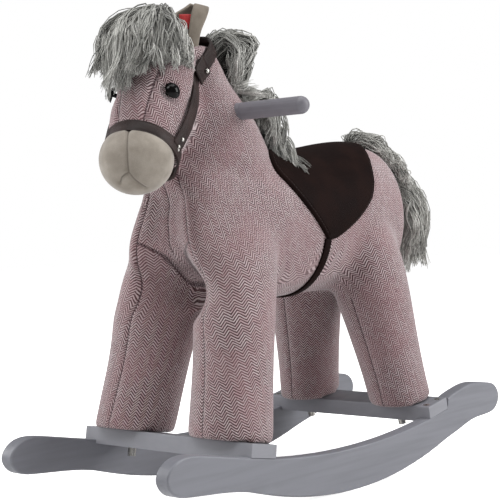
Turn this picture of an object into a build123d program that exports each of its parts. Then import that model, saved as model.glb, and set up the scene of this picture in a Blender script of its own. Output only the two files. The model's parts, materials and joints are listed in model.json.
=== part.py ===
from build123d import *
from math import cos, radians, sin, sqrt
import os

os.makedirs("parts", exist_ok=True)

# A child's rocking horse: a soft padded horse on a wooden frame, standing on two painted rockers.
# Millimetres. +Z is up, the horse faces -Y and +X is its left side.
# The origin is on the floor, under the middle of the rockers.

# Driving dimensions: the rocking base
base_width = 260.0
board = 18.0
rocker_length = 637.0
rocker_radius = 620.0
rocker_depth = 49.0
arc_end_y = 185.0
bar_y = 171.5
bar_tilt = 10.5
bar_width = 41.0
bar_end_thickness = 15.0
bar_drop = 4.6
seat_height = 63.7
edge_round = 2.0

# Driving dimensions: the handle and the wooden frame inside the body
handle_length = 284.0
handle_radius = 10.0
handle_y = -88.0
handle_z = 443.0
post_radius = 15.0
spine_bottom = 296.0
spine_thickness = 18.0
spine_half_width = 62.0
spine_front = -128.0
spine_rear = 152.0
neck_board_thickness = 20.0
neck_board_top = 482.0

# Driving dimensions: the soft body
front_foot = (75.0, -163.0)
rear_foot = (74.0, 168.0)
leg_inward_lean = 0.142
front_leg_rearward_lean = 0.28
rear_leg_forward_lean = 0.19
head_turn = 20.0
head_pivot_y = -166.5

# Driving dimensions: tack, sound button and small parts
leather = 2.5
saddle_thickness = 5.0
strap_width = 14.0
girth_width = 9.0
eye_radius = 9.5
button_radius = 8.0
button_travel = 1.5
clearance = 0.3
fit_gap = 0.1

# Fasteners
screw_radius = 2.0
screw_head_radius = 4.2
screw_head_depth = 2.4
screw_length = 38.0
bolt_radius = 3.0
bolt_head_radius = 4.8
bolt_head_length = 11.0
bolt_length = 46.0
rivet_radius = 1.6
rivet_head_radius = 2.8

# Torso sections along Y: position, height of the centre, half width, half height
torso_sections = [
    (-192.0, 315.0, 32.0, 44.0),
    (-172.0, 312.0, 58.0, 72.0),
    (-130.0, 308.0, 74.0, 91.0),
    (-70.0, 308.0, 80.0, 93.0),
    (10.0, 309.0, 80.0, 87.0),
    (90.0, 314.0, 80.0, 90.0),
    (160.0, 318.0, 78.0, 92.0),
    (215.0, 312.0, 68.0, 86.0),
    (250.0, 306.0, 46.0, 60.0),
    (266.0, 302.0, 22.0, 32.0),
]

# Neck sections going up: height, middle in Y, half width, half depth
neck_sections = [
    (366.0, -80.0, 60.0, 82.0),
    (410.0, -88.0, 52.0, 70.0),
    (450.0, -98.0, 45.0, 58.0),
    (490.0, -112.0, 41.0, 48.0),
    (518.0, -126.0, 34.0, 38.0),
]

# Head sections from crown to nose: forward, height, half width, half depth across the head's axis
head_sections = [
    (-22.0, 510.0, 24.0, 26.0),
    (-9.0, 493.0, 38.0, 42.0),
    (14.0, 462.0, 44.0, 53.0),
    (39.0, 430.0, 43.0, 52.0),
    (65.0, 396.0, 38.5, 40.0),
]
muzzle_centre = (80.0, 388.0)
muzzle_radii = (41.0, 38.0)

# Leg sections going up: height, radius
front_leg_sections = [(40.0, 46.0), (120.0, 46.5), (200.0, 46.0), (260.0, 46.0), (318.0, 36.0)]
rear_leg_sections = [(40.0, 39.0), (120.0, 41.0), (200.0, 47.0), (260.0, 50.0), (318.0, 40.0)]

seat_normal_y = sin(radians(bar_tilt))
seat_normal_z = cos(radians(bar_tilt))
bar_half = bar_width / 2
bar_half_y = bar_half * cos(radians(bar_tilt))
bar_half_z = bar_half * sin(radians(bar_tilt))
bar_thickness = bar_end_thickness + bar_drop
rocker_inner = base_width / 2 - board
arc_end_z = rocker_radius - sqrt(rocker_radius**2 - arc_end_y**2)
seat_low = (bar_y - bar_half_y, seat_height - bar_half_z)
seat_high = (bar_y + bar_half_y, seat_height + bar_half_z)


def bar_plane(end):
    """Plane of the rocker's seat for the front (-1) or the rear (+1) crossbar, facing up."""
    normal = (0, -end * seat_normal_y, seat_normal_z)
    return Plane(origin=(0, end * bar_y, seat_height), x_dir=(1, 0, 0), z_dir=normal)


def turned_with_head(local):
    """A plane given in the head's own frame, turned with the head to the horse's left."""
    turn = Location((0, head_pivot_y, 0), (0, 0, head_turn))
    return Plane(turn * local.location)


def head_plane(forward, height, facing=(0, 0, 1)):
    """Plane on the head's middle, so far forward of the neck and so high; its local Y runs backwards."""
    return turned_with_head(Plane(origin=(0, -forward, height), x_dir=(1, 0, 0), z_dir=facing))


def add_torso(grow=0.0, mode=Mode.ADD):
    sections = []
    for y, z, half_width, half_height in torso_sections:
        end = grow if y > 0 else -grow
        shift = end if y in (torso_sections[0][0], torso_sections[-1][0]) else 0.0
        with BuildSketch(Plane(origin=(0, y + shift, z), x_dir=(1, 0, 0), z_dir=(0, 1, 0))) as section:
            Ellipse(half_width + grow, half_height + grow)
        sections.append(section.sketch)
    loft(sections, mode=mode)


def add_neck(grow=0.0, mode=Mode.ADD):
    sections = []
    for z, y, half_width, half_depth in neck_sections:
        lift = grow if z == neck_sections[-1][0] else 0.0
        with BuildSketch(Plane(origin=(0, y, z + lift))) as section:
            Ellipse(half_width + grow, half_depth + grow)
        sections.append(section.sketch)
    loft(sections, mode=mode)


head_axis_forward = head_sections[-1][0] - head_sections[0][0]
head_axis_up = head_sections[-1][1] - head_sections[0][1]
head_axis = (0, -head_axis_forward, head_axis_up)


def add_head(grow=0.0, mode=Mode.ADD):
    sections = []
    for forward, height, half_width, half_depth in head_sections:
        back_off = grow if height == head_sections[0][1] else 0.0
        with BuildSketch(head_plane(forward, height, head_axis).offset(-back_off)) as section:
            Ellipse(half_width + grow, half_depth + grow)
        sections.append(section.sketch)
    loft(sections, mode=mode)


def leg_axis_point(end, side, z):
    foot = front_foot if end < 0 else rear_foot
    lean = front_leg_rearward_lean if end < 0 else rear_leg_forward_lean
    rise = z - seat_height - bar_end_thickness
    return (side * (foot[0] - leg_inward_lean * rise), foot[1] - end * lean * rise, z)


def add_leg(end, side, mode=Mode.ADD):
    sections = []
    for z, radius in front_leg_sections if end < 0 else rear_leg_sections:
        with BuildSketch(Plane(origin=leg_axis_point(end, side, z))) as section:
            Circle(radius)
        sections.append(section.sketch)
    loft(sections, mode=mode)


def add_post(end, side, grow=0.0, mode=Mode.ADD):
    sections = []
    for z in (40.0, spine_bottom):
        with BuildSketch(Plane(origin=leg_axis_point(end, side, z))) as section:
            Circle(post_radius + grow)
        sections.append(section.sketch)
    loft(sections, mode=mode)


def cut_below_bar_top(end):
    """Removes everything below the crossbar's top face."""
    with BuildSketch(bar_plane(end).offset(bar_end_thickness)) as bar_top:
        Rectangle(600, 300)
    extrude(bar_top.sketch, amount=-120, mode=Mode.SUBTRACT)


def screw_places(end, side):
    """The two countersunk screws at one end of a crossbar, on its top face."""
    top = bar_plane(end).offset(bar_end_thickness)
    x = side * (rocker_inner + board / 2)
    return [top * Location((x, y, 0)) for y in (-12.0, 12.0)]


def bolt_place(end, side):
    """The bolt under a crossbar, which goes up into the foot of a leg post."""
    foot = front_foot if end < 0 else rear_foot
    under = bar_plane(end).offset(-bar_drop)
    return under * Location((side * foot[0], -end * 4.0, 0))


ends = {"front": -1, "rear": 1}
sides = {"left": 1, "right": -1}

# The rockers: one board each, a bottom arc between two upturned round ends
rear_low_points = [(219, 36.8), (252, 45.0), (288, 47.4), (312, 54.5), (rocker_length / 2, 68)]
rear_high_points = [(311, 82), (288, 89.2), (255, 92.3), (224, 88.3), (seat_high[0] + 3, seat_high[1] + 13)]
front_high_points = [(-231, 75.2), (-262, 81.4), (-287, 84.4), (-308, 79.0), (-rocker_length / 2, 64)]
front_low_points = [(-311, 50.0), (-288, 42.6), (-250, 39.0), (-219, 35.4)]
bottom_slope = arc_end_y / rocker_radius

for side_name, side in sides.items():
    with BuildPart() as rocker:
        inner = rocker_inner if side > 0 else -base_width / 2
        with BuildSketch(Plane.YZ.offset(inner)):
            with BuildLine():
                ThreePointArc((-arc_end_y, arc_end_z), (0, 0), (arc_end_y, arc_end_z))
                Spline(
                    (arc_end_y, arc_end_z),
                    *rear_low_points,
                    *rear_high_points,
                    tangents=[(1, bottom_slope), (-1, -0.4)],
                )
                Line(rear_high_points[-1], seat_high)
                Line(seat_high, seat_low)
                ThreePointArc(seat_low, (0, rocker_depth), (-seat_low[0], seat_low[1]))
                Line((-seat_low[0], seat_low[1]), (-seat_high[0], seat_high[1]))
                Spline(
                    (-seat_high[0], seat_high[1]),
                    *front_high_points,
                    *front_low_points,
                    (-arc_end_y, arc_end_z),
                    tangents=[(-seat_normal_z, seat_normal_y), (1, -bottom_slope)],
                )
            make_face()
        extrude(amount=board)
        faces_out = rocker.faces().filter_by(Axis.X)
        long_edges = faces_out.edges().filter_by(lambda edge: edge.length > 100)
        fillet(long_edges, edge_round)
        for end in ends.values():
            with Locations(*screw_places(end, side)):
                Cylinder(
                    screw_radius + fit_gap,
                    screw_length + 1,
                    align=(Align.CENTER, Align.CENTER, Align.MAX),
                    mode=Mode.SUBTRACT,
                )
    rocker.part.label = f"rocker_{side_name}"
    export_step(rocker.part, f"parts/rocker_{side_name}.step")

# The crossbars: rebated at both ends, so that they drop between the rockers
for end_name, end in ends.items():
    with BuildPart() as crossbar:
        with BuildSketch(bar_plane(end)):
            Rectangle(base_width, bar_width)
        extrude(amount=bar_end_thickness)
        with BuildSketch(bar_plane(end)):
            Rectangle(2 * (rocker_inner - clearance), bar_width)
        extrude(amount=-bar_drop)
        top_edges = crossbar.faces().sort_by(Axis.Z)[-1].edges()
        fillet(top_edges, 1.0)
        for side in sides.values():
            with Locations(*screw_places(end, side)):
                CounterSinkHole(screw_radius + fit_gap, screw_head_radius + fit_gap, counter_sink_angle=82)
            with Locations(bolt_place(end, side)):
                Cylinder(
                    bolt_radius + clearance,
                    bar_thickness + 10,
                    align=(Align.CENTER, Align.CENTER, Align.MIN),
                    mode=Mode.SUBTRACT,
                )
    crossbar.part.label = f"{end_name}_crossbar"
    export_step(crossbar.part, f"parts/{end_name}_crossbar.step")

# Eight countersunk screws with a cross recess hold the crossbars to the rockers
with BuildPart() as crossbar_screws:
    for end in ends.values():
        for side in sides.values():
            with Locations(*screw_places(end, side)):
                Cylinder(screw_radius, screw_length, align=(Align.CENTER, Align.CENTER, Align.MAX))
                with Locations((0, 0, -screw_head_depth)):
                    Cone(
                        screw_radius,
                        screw_head_radius,
                        screw_head_depth,
                        align=(Align.CENTER, Align.CENTER, Align.MIN),
                    )
                Box(4.4, 0.9, 2.4, mode=Mode.SUBTRACT)
                Box(0.9, 4.4, 2.4, mode=Mode.SUBTRACT)
crossbar_screws.part.label = "crossbar_screws"
export_step(crossbar_screws.part, "parts/crossbar_screws.step")

# Four socket-head bolts come up through the crossbars into the leg posts
with BuildPart() as leg_bolts:
    for end in ends.values():
        for side in sides.values():
            with Locations(bolt_place(end, side)):
                Cylinder(
                    bolt_head_radius, bolt_head_length, align=(Align.CENTER, Align.CENTER, Align.MAX)
                )
                Cylinder(bolt_radius, bolt_length, align=(Align.CENTER, Align.CENTER, Align.MIN))
            with BuildSketch(Plane(bolt_place(end, side)).offset(-bolt_head_length)):
                RegularPolygon(2.9, 6)
            extrude(amount=5, mode=Mode.SUBTRACT)
leg_bolts.part.label = "leg_bolts"
export_step(leg_bolts.part, "parts/leg_bolts.step")

# The wooden frame inside: leg posts, spine board and neck board
for end_name, end in ends.items():
    for side_name, side in sides.items():
        with BuildPart() as post:
            add_post(end, side)
            cut_below_bar_top(end)
            with Locations(bolt_place(end, side)):
                Cylinder(
                    bolt_radius + fit_gap,
                    bolt_length + 2,
                    align=(Align.CENTER, Align.CENTER, Align.MIN),
                    mode=Mode.SUBTRACT,
                )
            with Locations(leg_axis_point(end, side, spine_bottom)):
                Cylinder(screw_radius + fit_gap, 90, mode=Mode.SUBTRACT)
        name = f"leg_post_{end_name}_{side_name}"
        post.part.label = name
        export_step(post.part, f"parts/{name}.step")

spine_length = spine_rear - spine_front
spine_middle = (spine_rear + spine_front) / 2
spine_top = spine_bottom + spine_thickness
post_screw_places = [
    (leg_axis_point(end, side, spine_bottom)[0], leg_axis_point(end, side, spine_bottom)[1], spine_top)
    for end in ends.values()
    for side in sides.values()
]
neck_screw_places = [(0, -112, spine_bottom), (0, -70, spine_bottom)]

with BuildPart() as spine_board:
    with BuildSketch(Plane.XY.offset(spine_bottom)):
        with Locations((0, spine_middle)):
            RectangleRounded(2 * spine_half_width, spine_length, 30)
    extrude(amount=spine_thickness)
    with Locations(*post_screw_places):
        CounterSinkHole(screw_radius + fit_gap, screw_head_radius + fit_gap, counter_sink_angle=82)
    with Locations(*[Location(place, (180, 0, 0)) for place in neck_screw_places]):
        CounterSinkHole(screw_radius + fit_gap, screw_head_radius + fit_gap, counter_sink_angle=82)
spine_board.part.label = "spine_board"
export_step(spine_board.part, "parts/spine_board.step")

with BuildPart() as neck_board:
    with BuildSketch(Plane.YZ.offset(-neck_board_thickness / 2)):
        with BuildLine():
            Polyline(
                (-126, spine_top),
                (-46, spine_top),
                (-58, handle_z),
                (-88, neck_board_top),
                (-126, neck_board_top),
                (-130, handle_z - 20),
                (-126, spine_top),
            )
        make_face()
    extrude(amount=neck_board_thickness)
    with Locations(Location((0, handle_y, handle_z), (0, 90, 0))):
        Cylinder(handle_radius + fit_gap, 60, mode=Mode.SUBTRACT)
    with Locations(*[Location(place, (180, 0, 0)) for place in neck_screw_places]):
        Cylinder(
            screw_radius + fit_gap,
            screw_length + 1,
            align=(Align.CENTER, Align.CENTER, Align.MAX),
            mode=Mode.SUBTRACT,
        )
neck_board.part.label = "neck_board"
export_step(neck_board.part, "parts/neck_board.step")

with BuildPart() as frame_screws:
    with Locations(*post_screw_places, *[Location(place, (180, 0, 0)) for place in neck_screw_places]):
        Cylinder(screw_radius, screw_length, align=(Align.CENTER, Align.CENTER, Align.MAX))
        with Locations((0, 0, -screw_head_depth)):
            Cone(
                screw_radius,
                screw_head_radius,
                screw_head_depth,
                align=(Align.CENTER, Align.CENTER, Align.MIN),
            )
frame_screws.part.label = "frame_screws"
export_step(frame_screws.part, "parts/frame_screws.step")

# The handle: one dowel with round ends, through the neck and the neck board.
# A shallow groove on each side holds the tied edge of the neck's cover.
groove_start = 48.0
groove_width = 3.0
groove_depth = 0.3
with BuildPart() as handle:
    with Locations(Location((0, handle_y, handle_z), (0, 90, 0))):
        Cylinder(handle_radius, handle_length)
    fillet(handle.edges().filter_by(GeomType.CIRCLE), handle_radius - 0.2)
    for side in sides.values():
        groove_middle = side * (groove_start + groove_width / 2)
        with Locations(Location((groove_middle, handle_y, handle_z), (0, 90, 0))):
            Cylinder(handle_radius + 1, groove_width, mode=Mode.SUBTRACT)
            Cylinder(handle_radius - groove_depth, groove_width)
handle.part.label = "handle"
export_step(handle.part, "parts/handle.step")

# The sound box stands on the spine board, inside the back
sound_box_size = (58.0, 50.0, 22.0)
sound_box_y = 70.0
with BuildPart() as sound_box:
    with Locations((0, sound_box_y, spine_top)):
        Box(*sound_box_size, align=(Align.CENTER, Align.CENTER, Align.MIN))
    fillet(sound_box.edges().filter_by(Axis.Z), 4)
    with Locations((0, sound_box_y, spine_top + sound_box_size[2])):
        with PolarLocations(9, 8):
            Hole(1.5, 3)
sound_box.part.label = "sound_box"
export_step(sound_box.part, "parts/sound_box.step")


def cut_frame():
    """Removes the room of the wooden frame, the handle and the sound box from a soft piece."""
    with BuildSketch(Plane.XY.offset(spine_bottom - fit_gap)) as spine_room:
        with Locations((0, spine_middle)):
            RectangleRounded(2 * (spine_half_width + fit_gap), spine_length + 2 * fit_gap, 30)
    extrude(spine_room.sketch, amount=spine_thickness + 2 * fit_gap, mode=Mode.SUBTRACT)
    with Locations((0, (-130 - 46) / 2, spine_bottom)):
        Box(
            neck_board_thickness + 2 * fit_gap,
            84 + 2 * fit_gap,
            neck_board_top - spine_bottom + fit_gap,
            align=(Align.CENTER, Align.CENTER, Align.MIN),
            mode=Mode.SUBTRACT,
        )
    with Locations(Location((0, handle_y, handle_z), (0, 90, 0))):
        Cylinder(handle_radius + clearance, handle_length, mode=Mode.SUBTRACT)
    with Locations((0, sound_box_y, spine_top)):
        Box(
            sound_box_size[0] + 2 * fit_gap,
            sound_box_size[1] + 2 * fit_gap,
            sound_box_size[2] + fit_gap,
            align=(Align.CENTER, Align.CENTER, Align.MIN),
            mode=Mode.SUBTRACT,
        )
    for end in ends.values():
        for side in sides.values():
            add_post(end, side, grow=fit_gap, mode=Mode.SUBTRACT)


# The soft body: torso and four legs, then neck and head further down
with BuildPart() as torso:
    add_torso()
    cut_frame()
torso.part.label = "torso"
export_step(torso.part, "parts/torso.step")

for end_name, end in ends.items():
    for side_name, side in sides.items():
        with BuildPart() as leg:
            add_leg(end, side)
            cut_below_bar_top(end)
            add_torso(grow=fit_gap, mode=Mode.SUBTRACT)
            add_post(end, side, grow=fit_gap, mode=Mode.SUBTRACT)
        name = f"leg_{end_name}_{side_name}"
        leg.part.label = name
        export_step(leg.part, f"parts/{name}.step")

# The head and what sits on it are turned together to the horse's left
eye_outward = (0.82, 0.453, 0.346)
eye_seat = (35.5, 57.0, 461.0)
eye_dome_radius = 10.2
eye_dome_sink = 4.0
eye_shank_radius = 2.5
eye_shank_length = 12.0
washer_radius = 9.0
washer_thickness = 1.6
washer_depth = 8.0
nose_plane = head_plane(*head_sections[-1][:2], head_axis)
strap_normal = (0, -0.72, 0.69)
strap_plane = head_plane(63.0, 400.0, strap_normal)
keeper_height = 489.0


def head_side_plane(side):
    return turned_with_head(Plane(origin=(0, 0, 0), x_dir=(0, 1, 0), z_dir=(side, 0, 0)))


def eye_plane(side):
    sideways, forward, up = eye_outward
    local = Plane(
        origin=(side * eye_seat[0], -eye_seat[1], eye_seat[2]),
        x_dir=(side * forward, sideways, 0),
        z_dir=(side * sideways, -forward, up),
    )
    return turned_with_head(local)


def add_slab(plane, low, high, mode):
    """A wide slab between two heights along a plane's normal."""
    with BuildSketch(plane.offset(low)) as slab:
        Rectangle(2000, 2000)
    extrude(slab.sketch, amount=high - low, mode=mode)


def add_eye_room(side):
    with Locations(eye_plane(side).location):
        Cylinder(
            eye_radius + fit_gap, 14, align=(Align.CENTER, Align.CENTER, Align.MIN), mode=Mode.SUBTRACT
        )
        Cylinder(
            eye_shank_radius + fit_gap,
            eye_shank_length + 0.2,
            align=(Align.CENTER, Align.CENTER, Align.MAX),
            mode=Mode.SUBTRACT,
        )
    with Locations(eye_plane(side).offset(-washer_depth - fit_gap).location):
        Cylinder(
            washer_radius + fit_gap,
            washer_thickness + 2 * fit_gap,
            align=(Align.CENTER, Align.CENTER, Align.MIN),
            mode=Mode.SUBTRACT,
        )


half_strap = strap_width / 2
rivet_shank = 4.5
rivet_spots = [
    (40.5, -18.0, 486.0),
    (38.0, 56.0, 406.0),
    (38.0, 52.0, 411.0),
]


def rivet_place(side, spot):
    local = Plane(
        origin=(side * spot[0], -spot[1], spot[2]), x_dir=(0, side, 0), z_dir=(side, 0, 0)
    )
    return turned_with_head(local).location


def add_rivet_room(side):
    for spot in rivet_spots:
        with Locations(rivet_place(side, spot)):
            Cylinder(
                rivet_head_radius + fit_gap,
                12,
                align=(Align.CENTER, Align.CENTER, Align.MIN),
                mode=Mode.SUBTRACT,
            )
            Cylinder(
                rivet_radius + fit_gap,
                rivet_shank + fit_gap,
                align=(Align.CENTER, Align.CENTER, Align.MAX),
                mode=Mode.SUBTRACT,
            )


with BuildPart() as neck:
    add_neck()
    add_torso(grow=fit_gap, mode=Mode.SUBTRACT)
    cut_frame()
    for side in sides.values():
        add_rivet_room(side)
neck.part.label = "neck"
export_step(neck.part, "parts/neck.step")

with BuildPart() as head:
    add_head()
    add_neck(grow=fit_gap, mode=Mode.SUBTRACT)
    for side in sides.values():
        add_eye_room(side)
        add_rivet_room(side)
head.part.label = "head"
export_step(head.part, "parts/head.step")

# The muzzle: a soft ball sewn to the head along the noseband's lower edge
muzzle_plane = head_plane(*muzzle_centre)
muzzle_ball = scale(Sphere(muzzle_radii[1]), by=(muzzle_radii[0] / muzzle_radii[1], 1, 1))
with BuildPart() as muzzle:
    add(muzzle_plane.location * muzzle_ball)
    add_slab(nose_plane, fit_gap, 200, Mode.INTERSECT)
muzzle.part.label = "muzzle"
export_step(muzzle.part, "parts/muzzle.step")

for side_name, side in sides.items():
    with BuildPart() as eye:
        with Locations(eye_plane(side).offset(-eye_dome_sink).location):
            Sphere(eye_dome_radius)
        split(bisect_by=eye_plane(side), keep=Keep.TOP)
        with Locations(eye_plane(side).location):
            Cylinder(
                eye_shank_radius, eye_shank_length, align=(Align.CENTER, Align.CENTER, Align.MAX)
            )
    eye.part.label = f"eye_{side_name}"
    export_step(eye.part, f"parts/eye_{side_name}.step")

with BuildPart() as eye_washers:
    for side in sides.values():
        with Locations(eye_plane(side).offset(-washer_depth).location):
            Cylinder(
                washer_radius, washer_thickness, align=(Align.CENTER, Align.CENTER, Align.MIN)
            )
            Cylinder(
                eye_shank_radius + fit_gap / 2,
                washer_thickness,
                align=(Align.CENTER, Align.CENTER, Align.MIN),
                mode=Mode.SUBTRACT,
            )
eye_washers.part.label = "eye_washers"
export_step(eye_washers.part, "parts/eye_washers.step")

# Ears: thick leaves facing forward and outward; the left one holds the switch of the sound box
ear_base = (27.0, -20.0, 514.0)
ear_facing = 40.0
ear_thickness = 9.0
ear_outline = [(17.0, 20.0), (11.0, 42.0), (0.0, 50.0)]
ear_root_half = 11.0
switch_spot = (-4.0, 23.0)
switch_radius = 11.0
switch_low = -3.0
switch_high = 2.0
stem_radius = 2.5


def ear_plane(side):
    out = sin(radians(ear_facing))
    ahead = cos(radians(ear_facing))
    local = Plane(
        origin=(side * ear_base[0], -ear_base[1], ear_base[2]),
        x_dir=(ahead, side * out, 0),
        z_dir=(side * out, -ahead, 0),
    )
    return turned_with_head(local)


switch_plane = ear_plane(1) * Location((switch_spot[0], switch_spot[1], 0))

for side_name, side in sides.items():
    with BuildPart() as ear:
        with BuildSketch(ear_plane(side)):
            with BuildLine():
                right_edge = Spline((ear_root_half, 0), *ear_outline)
                mirror(right_edge, about=Plane.YZ)
                Line((-ear_root_half, 0), (ear_root_half, 0))
            make_face()
        extrude(amount=ear_thickness / 2, both=True)
        add_head(grow=fit_gap, mode=Mode.SUBTRACT)
        add_neck(grow=fit_gap, mode=Mode.SUBTRACT)
        if side > 0:
            with Locations(switch_plane):
                Cylinder(
                    button_radius + clearance,
                    20,
                    align=(Align.CENTER, Align.CENTER, Align.MIN),
                    mode=Mode.SUBTRACT,
                )
            with Locations(switch_plane * Location((0, 0, switch_low - fit_gap))):
                Cylinder(
                    switch_radius + fit_gap,
                    switch_high - switch_low + 2 * fit_gap,
                    align=(Align.CENTER, Align.CENTER, Align.MIN),
                    mode=Mode.SUBTRACT,
                )
    ear.part.label = f"ear_{side_name}"
    export_step(ear.part, f"parts/ear_{side_name}.step")

# The sound switch in the left ear, and its button, which carries the plain red tag
stem_free_depth = 1.2
bore_depth = 3.5
button_gap = 0.2
button_cap_low = switch_high + button_travel + button_gap
button_cap_thickness = 2.4

with BuildPart() as ear_switch:
    with Locations(switch_plane * Location((0, 0, switch_low))):
        Cylinder(switch_radius, switch_high - switch_low, align=(Align.CENTER, Align.CENTER, Align.MIN))
    with Locations(switch_plane * Location((0, 0, switch_high))):
        Cylinder(
            stem_radius + clearance,
            bore_depth,
            align=(Align.CENTER, Align.CENTER, Align.MAX),
            mode=Mode.SUBTRACT,
        )
ear_switch.part.label = "ear_switch"
export_step(ear_switch.part, "parts/ear_switch.step")

with BuildPart() as sound_button:
    with Locations(switch_plane * Location((0, 0, button_cap_low))):
        Cylinder(button_radius, button_cap_thickness, align=(Align.CENTER, Align.CENTER, Align.MIN))
    fillet(sound_button.edges().filter_by(GeomType.CIRCLE), 0.8)
    with Locations(switch_plane * Location((0, 0, button_cap_low))):
        Cylinder(
            stem_radius,
            button_cap_low - switch_high + stem_free_depth,
            align=(Align.CENTER, Align.CENTER, Align.MAX),
        )
sound_button.part.label = "sound_button"
export_step(sound_button.part, "parts/sound_button.step")

# The bridle: a noseband over the nose, a strap up each cheek and one over the poll
with BuildPart() as noseband:
    add_head(grow=leather)
    add_head(grow=fit_gap, mode=Mode.SUBTRACT)
    add_slab(nose_plane, -strap_width, 0, Mode.INTERSECT)
    add_slab(strap_plane, -400, half_strap + fit_gap, Mode.SUBTRACT)
noseband.part.label = "noseband"
export_step(noseband.part, "parts/noseband.step")

for side_name, side in sides.items():
    with BuildPart() as cheek_strap:
        add_head(grow=leather)
        add_neck(grow=leather)
        add_head(grow=fit_gap, mode=Mode.SUBTRACT)
        add_neck(grow=fit_gap, mode=Mode.SUBTRACT)
        add_slab(strap_plane, -half_strap, half_strap, Mode.INTERSECT)
        add_slab(nose_plane, -400, 0, Mode.INTERSECT)
        add_slab(Plane.XY, 0, keeper_height, Mode.INTERSECT)
        add_slab(head_side_plane(side), 10, 200, Mode.INTERSECT)
        add_rivet_room(side)
    cheek_strap.part.label = f"cheek_strap_{side_name}"
    export_step(cheek_strap.part, f"parts/cheek_strap_{side_name}.step")

with BuildPart() as crown_strap:
    add_head(grow=leather)
    add_neck(grow=leather)
    add_head(grow=fit_gap, mode=Mode.SUBTRACT)
    add_neck(grow=fit_gap, mode=Mode.SUBTRACT)
    add_slab(strap_plane, -half_strap, half_strap, Mode.INTERSECT)
    add_slab(Plane.XY, keeper_height + fit_gap, 600, Mode.INTERSECT)
crown_strap.part.label = "crown_strap"
export_step(crown_strap.part, "parts/crown_strap.step")

with BuildPart() as bridle_rivets:
    for side in sides.values():
        for spot in rivet_spots:
            with Locations(rivet_place(side, spot)):
                Cylinder(rivet_head_radius, 1.8, align=(Align.CENTER, Align.CENTER, Align.MIN))
                Cylinder(rivet_radius, rivet_shank, align=(Align.CENTER, Align.CENTER, Align.MAX))
bridle_rivets.part.label = "bridle_rivets"
export_step(bridle_rivets.part, "parts/bridle_rivets.step")

# Yarn: the forelock over the brow, the mane down the neck, a strip on the rump and the tail
forelock_depth = 20.0
forelock_low = 478.0
tuft_radius = 23.0
tuft_centre = (-2.0, 16.0, 540.0)
yarn_gap = 0.5
with BuildPart() as forelock:
    add_head(grow=forelock_depth)
    add_slab(Plane.XY, forelock_low, 700, Mode.INTERSECT)
    add_slab(head_plane(0, 0, (0, -1, 0)), 2, 300, Mode.INTERSECT)
    with Locations(head_plane(tuft_centre[1], tuft_centre[2]).location):
        Sphere(tuft_radius)
    add_head(grow=yarn_gap, mode=Mode.SUBTRACT)
    add_neck(grow=leather + yarn_gap, mode=Mode.SUBTRACT)
forelock.part.label = "forelock"
export_step(forelock.part, "parts/forelock.step")

mane_half_width = 22.0
mane_depth = 26.0
with BuildPart() as mane:
    add_neck(grow=mane_depth)
    add_slab(Plane.YZ, -mane_half_width, mane_half_width, Mode.INTERSECT)
    add_slab(Plane.XZ.offset(100), -300, 0, Mode.INTERSECT)
    add_slab(Plane.XY, 300, 532, Mode.INTERSECT)
    add_neck(grow=yarn_gap, mode=Mode.SUBTRACT)
    add_slab(strap_plane, -half_strap - yarn_gap, 300, Mode.SUBTRACT)
    add_torso(grow=saddle_thickness + yarn_gap, mode=Mode.SUBTRACT)
mane.part.label = "mane"
export_step(mane.part, "parts/mane.step")

rump_strip_half_width = 20.0
rump_strip_depth = 20.0
rump_strip_front = 208.0
dock_height = 357.0
with BuildPart() as rump_strip:
    add_torso(grow=rump_strip_depth)
    add_torso(grow=yarn_gap, mode=Mode.SUBTRACT)
    add_slab(Plane.YZ, -rump_strip_half_width, rump_strip_half_width, Mode.INTERSECT)
    add_slab(Plane.XZ, -400, -rump_strip_front, Mode.INTERSECT)
    add_slab(Plane.XY, dock_height + 1, 600, Mode.INTERSECT)
rump_strip.part.label = "rump_strip"
export_step(rump_strip.part, "parts/rump_strip.step")

# Tail sections going down: height, middle in Y, half width, half depth
tail_sections = [
    (352.0, 286.0, 6.0, 8.0),
    (338.0, 292.0, 18.0, 15.0),
    (308.0, 298.0, 28.0, 19.0),
    (275.0, 299.0, 28.0, 19.0),
    (248.0, 298.0, 20.0, 13.0),
]
with BuildPart() as tail:
    tail_profiles = []
    for z, y, half_width, half_depth in tail_sections:
        with BuildSketch(Plane(origin=(0, y, z))) as section:
            Ellipse(half_width, half_depth)
        tail_profiles.append(section.sketch)
    loft(tail_profiles)
tail.part.label = "tail"
export_step(tail.part, "parts/tail.step")

# The saddle: a leather pad over the back with a pointed flap on each side, and its girth
saddle_outline = [
    (22, 430),
    (20, 408),
    (-49, 388),
    (-36, 357),
    (-8, 320),
    (18, 290),
    (27, 285),
    (40, 292),
    (84, 326),
    (135, 360),
    (186, 392),
    (203, 430),
]
saddle_tip_z = 285.0
girth_front = 22.0
with BuildPart() as saddle:
    add_torso(grow=saddle_thickness)
    add_torso(grow=fit_gap, mode=Mode.SUBTRACT)
    with BuildSketch(Plane.YZ.offset(-200)) as side_outline:
        with BuildLine():
            Polyline(*saddle_outline, close=True)
        make_face()
    extrude(side_outline.sketch, amount=400, mode=Mode.INTERSECT)
    add_neck(grow=2 * fit_gap, mode=Mode.SUBTRACT)
saddle.part.label = "saddle"
export_step(saddle.part, "parts/saddle.step")

with BuildPart() as girth:
    add_torso(grow=leather)
    add_torso(grow=fit_gap, mode=Mode.SUBTRACT)
    add_slab(Plane.XZ.offset(-girth_front), -girth_width / 2, girth_width / 2, Mode.INTERSECT)
    add_slab(Plane.XY, 0, saddle_tip_z - fit_gap, Mode.INTERSECT)
girth.part.label = "girth"
export_step(girth.part, "parts/girth.step")
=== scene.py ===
import json
import math

import bmesh
import bpy
import numpy as np
from mathutils import Matrix, Vector
from mathutils.bvhtree import BVHTree


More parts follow.
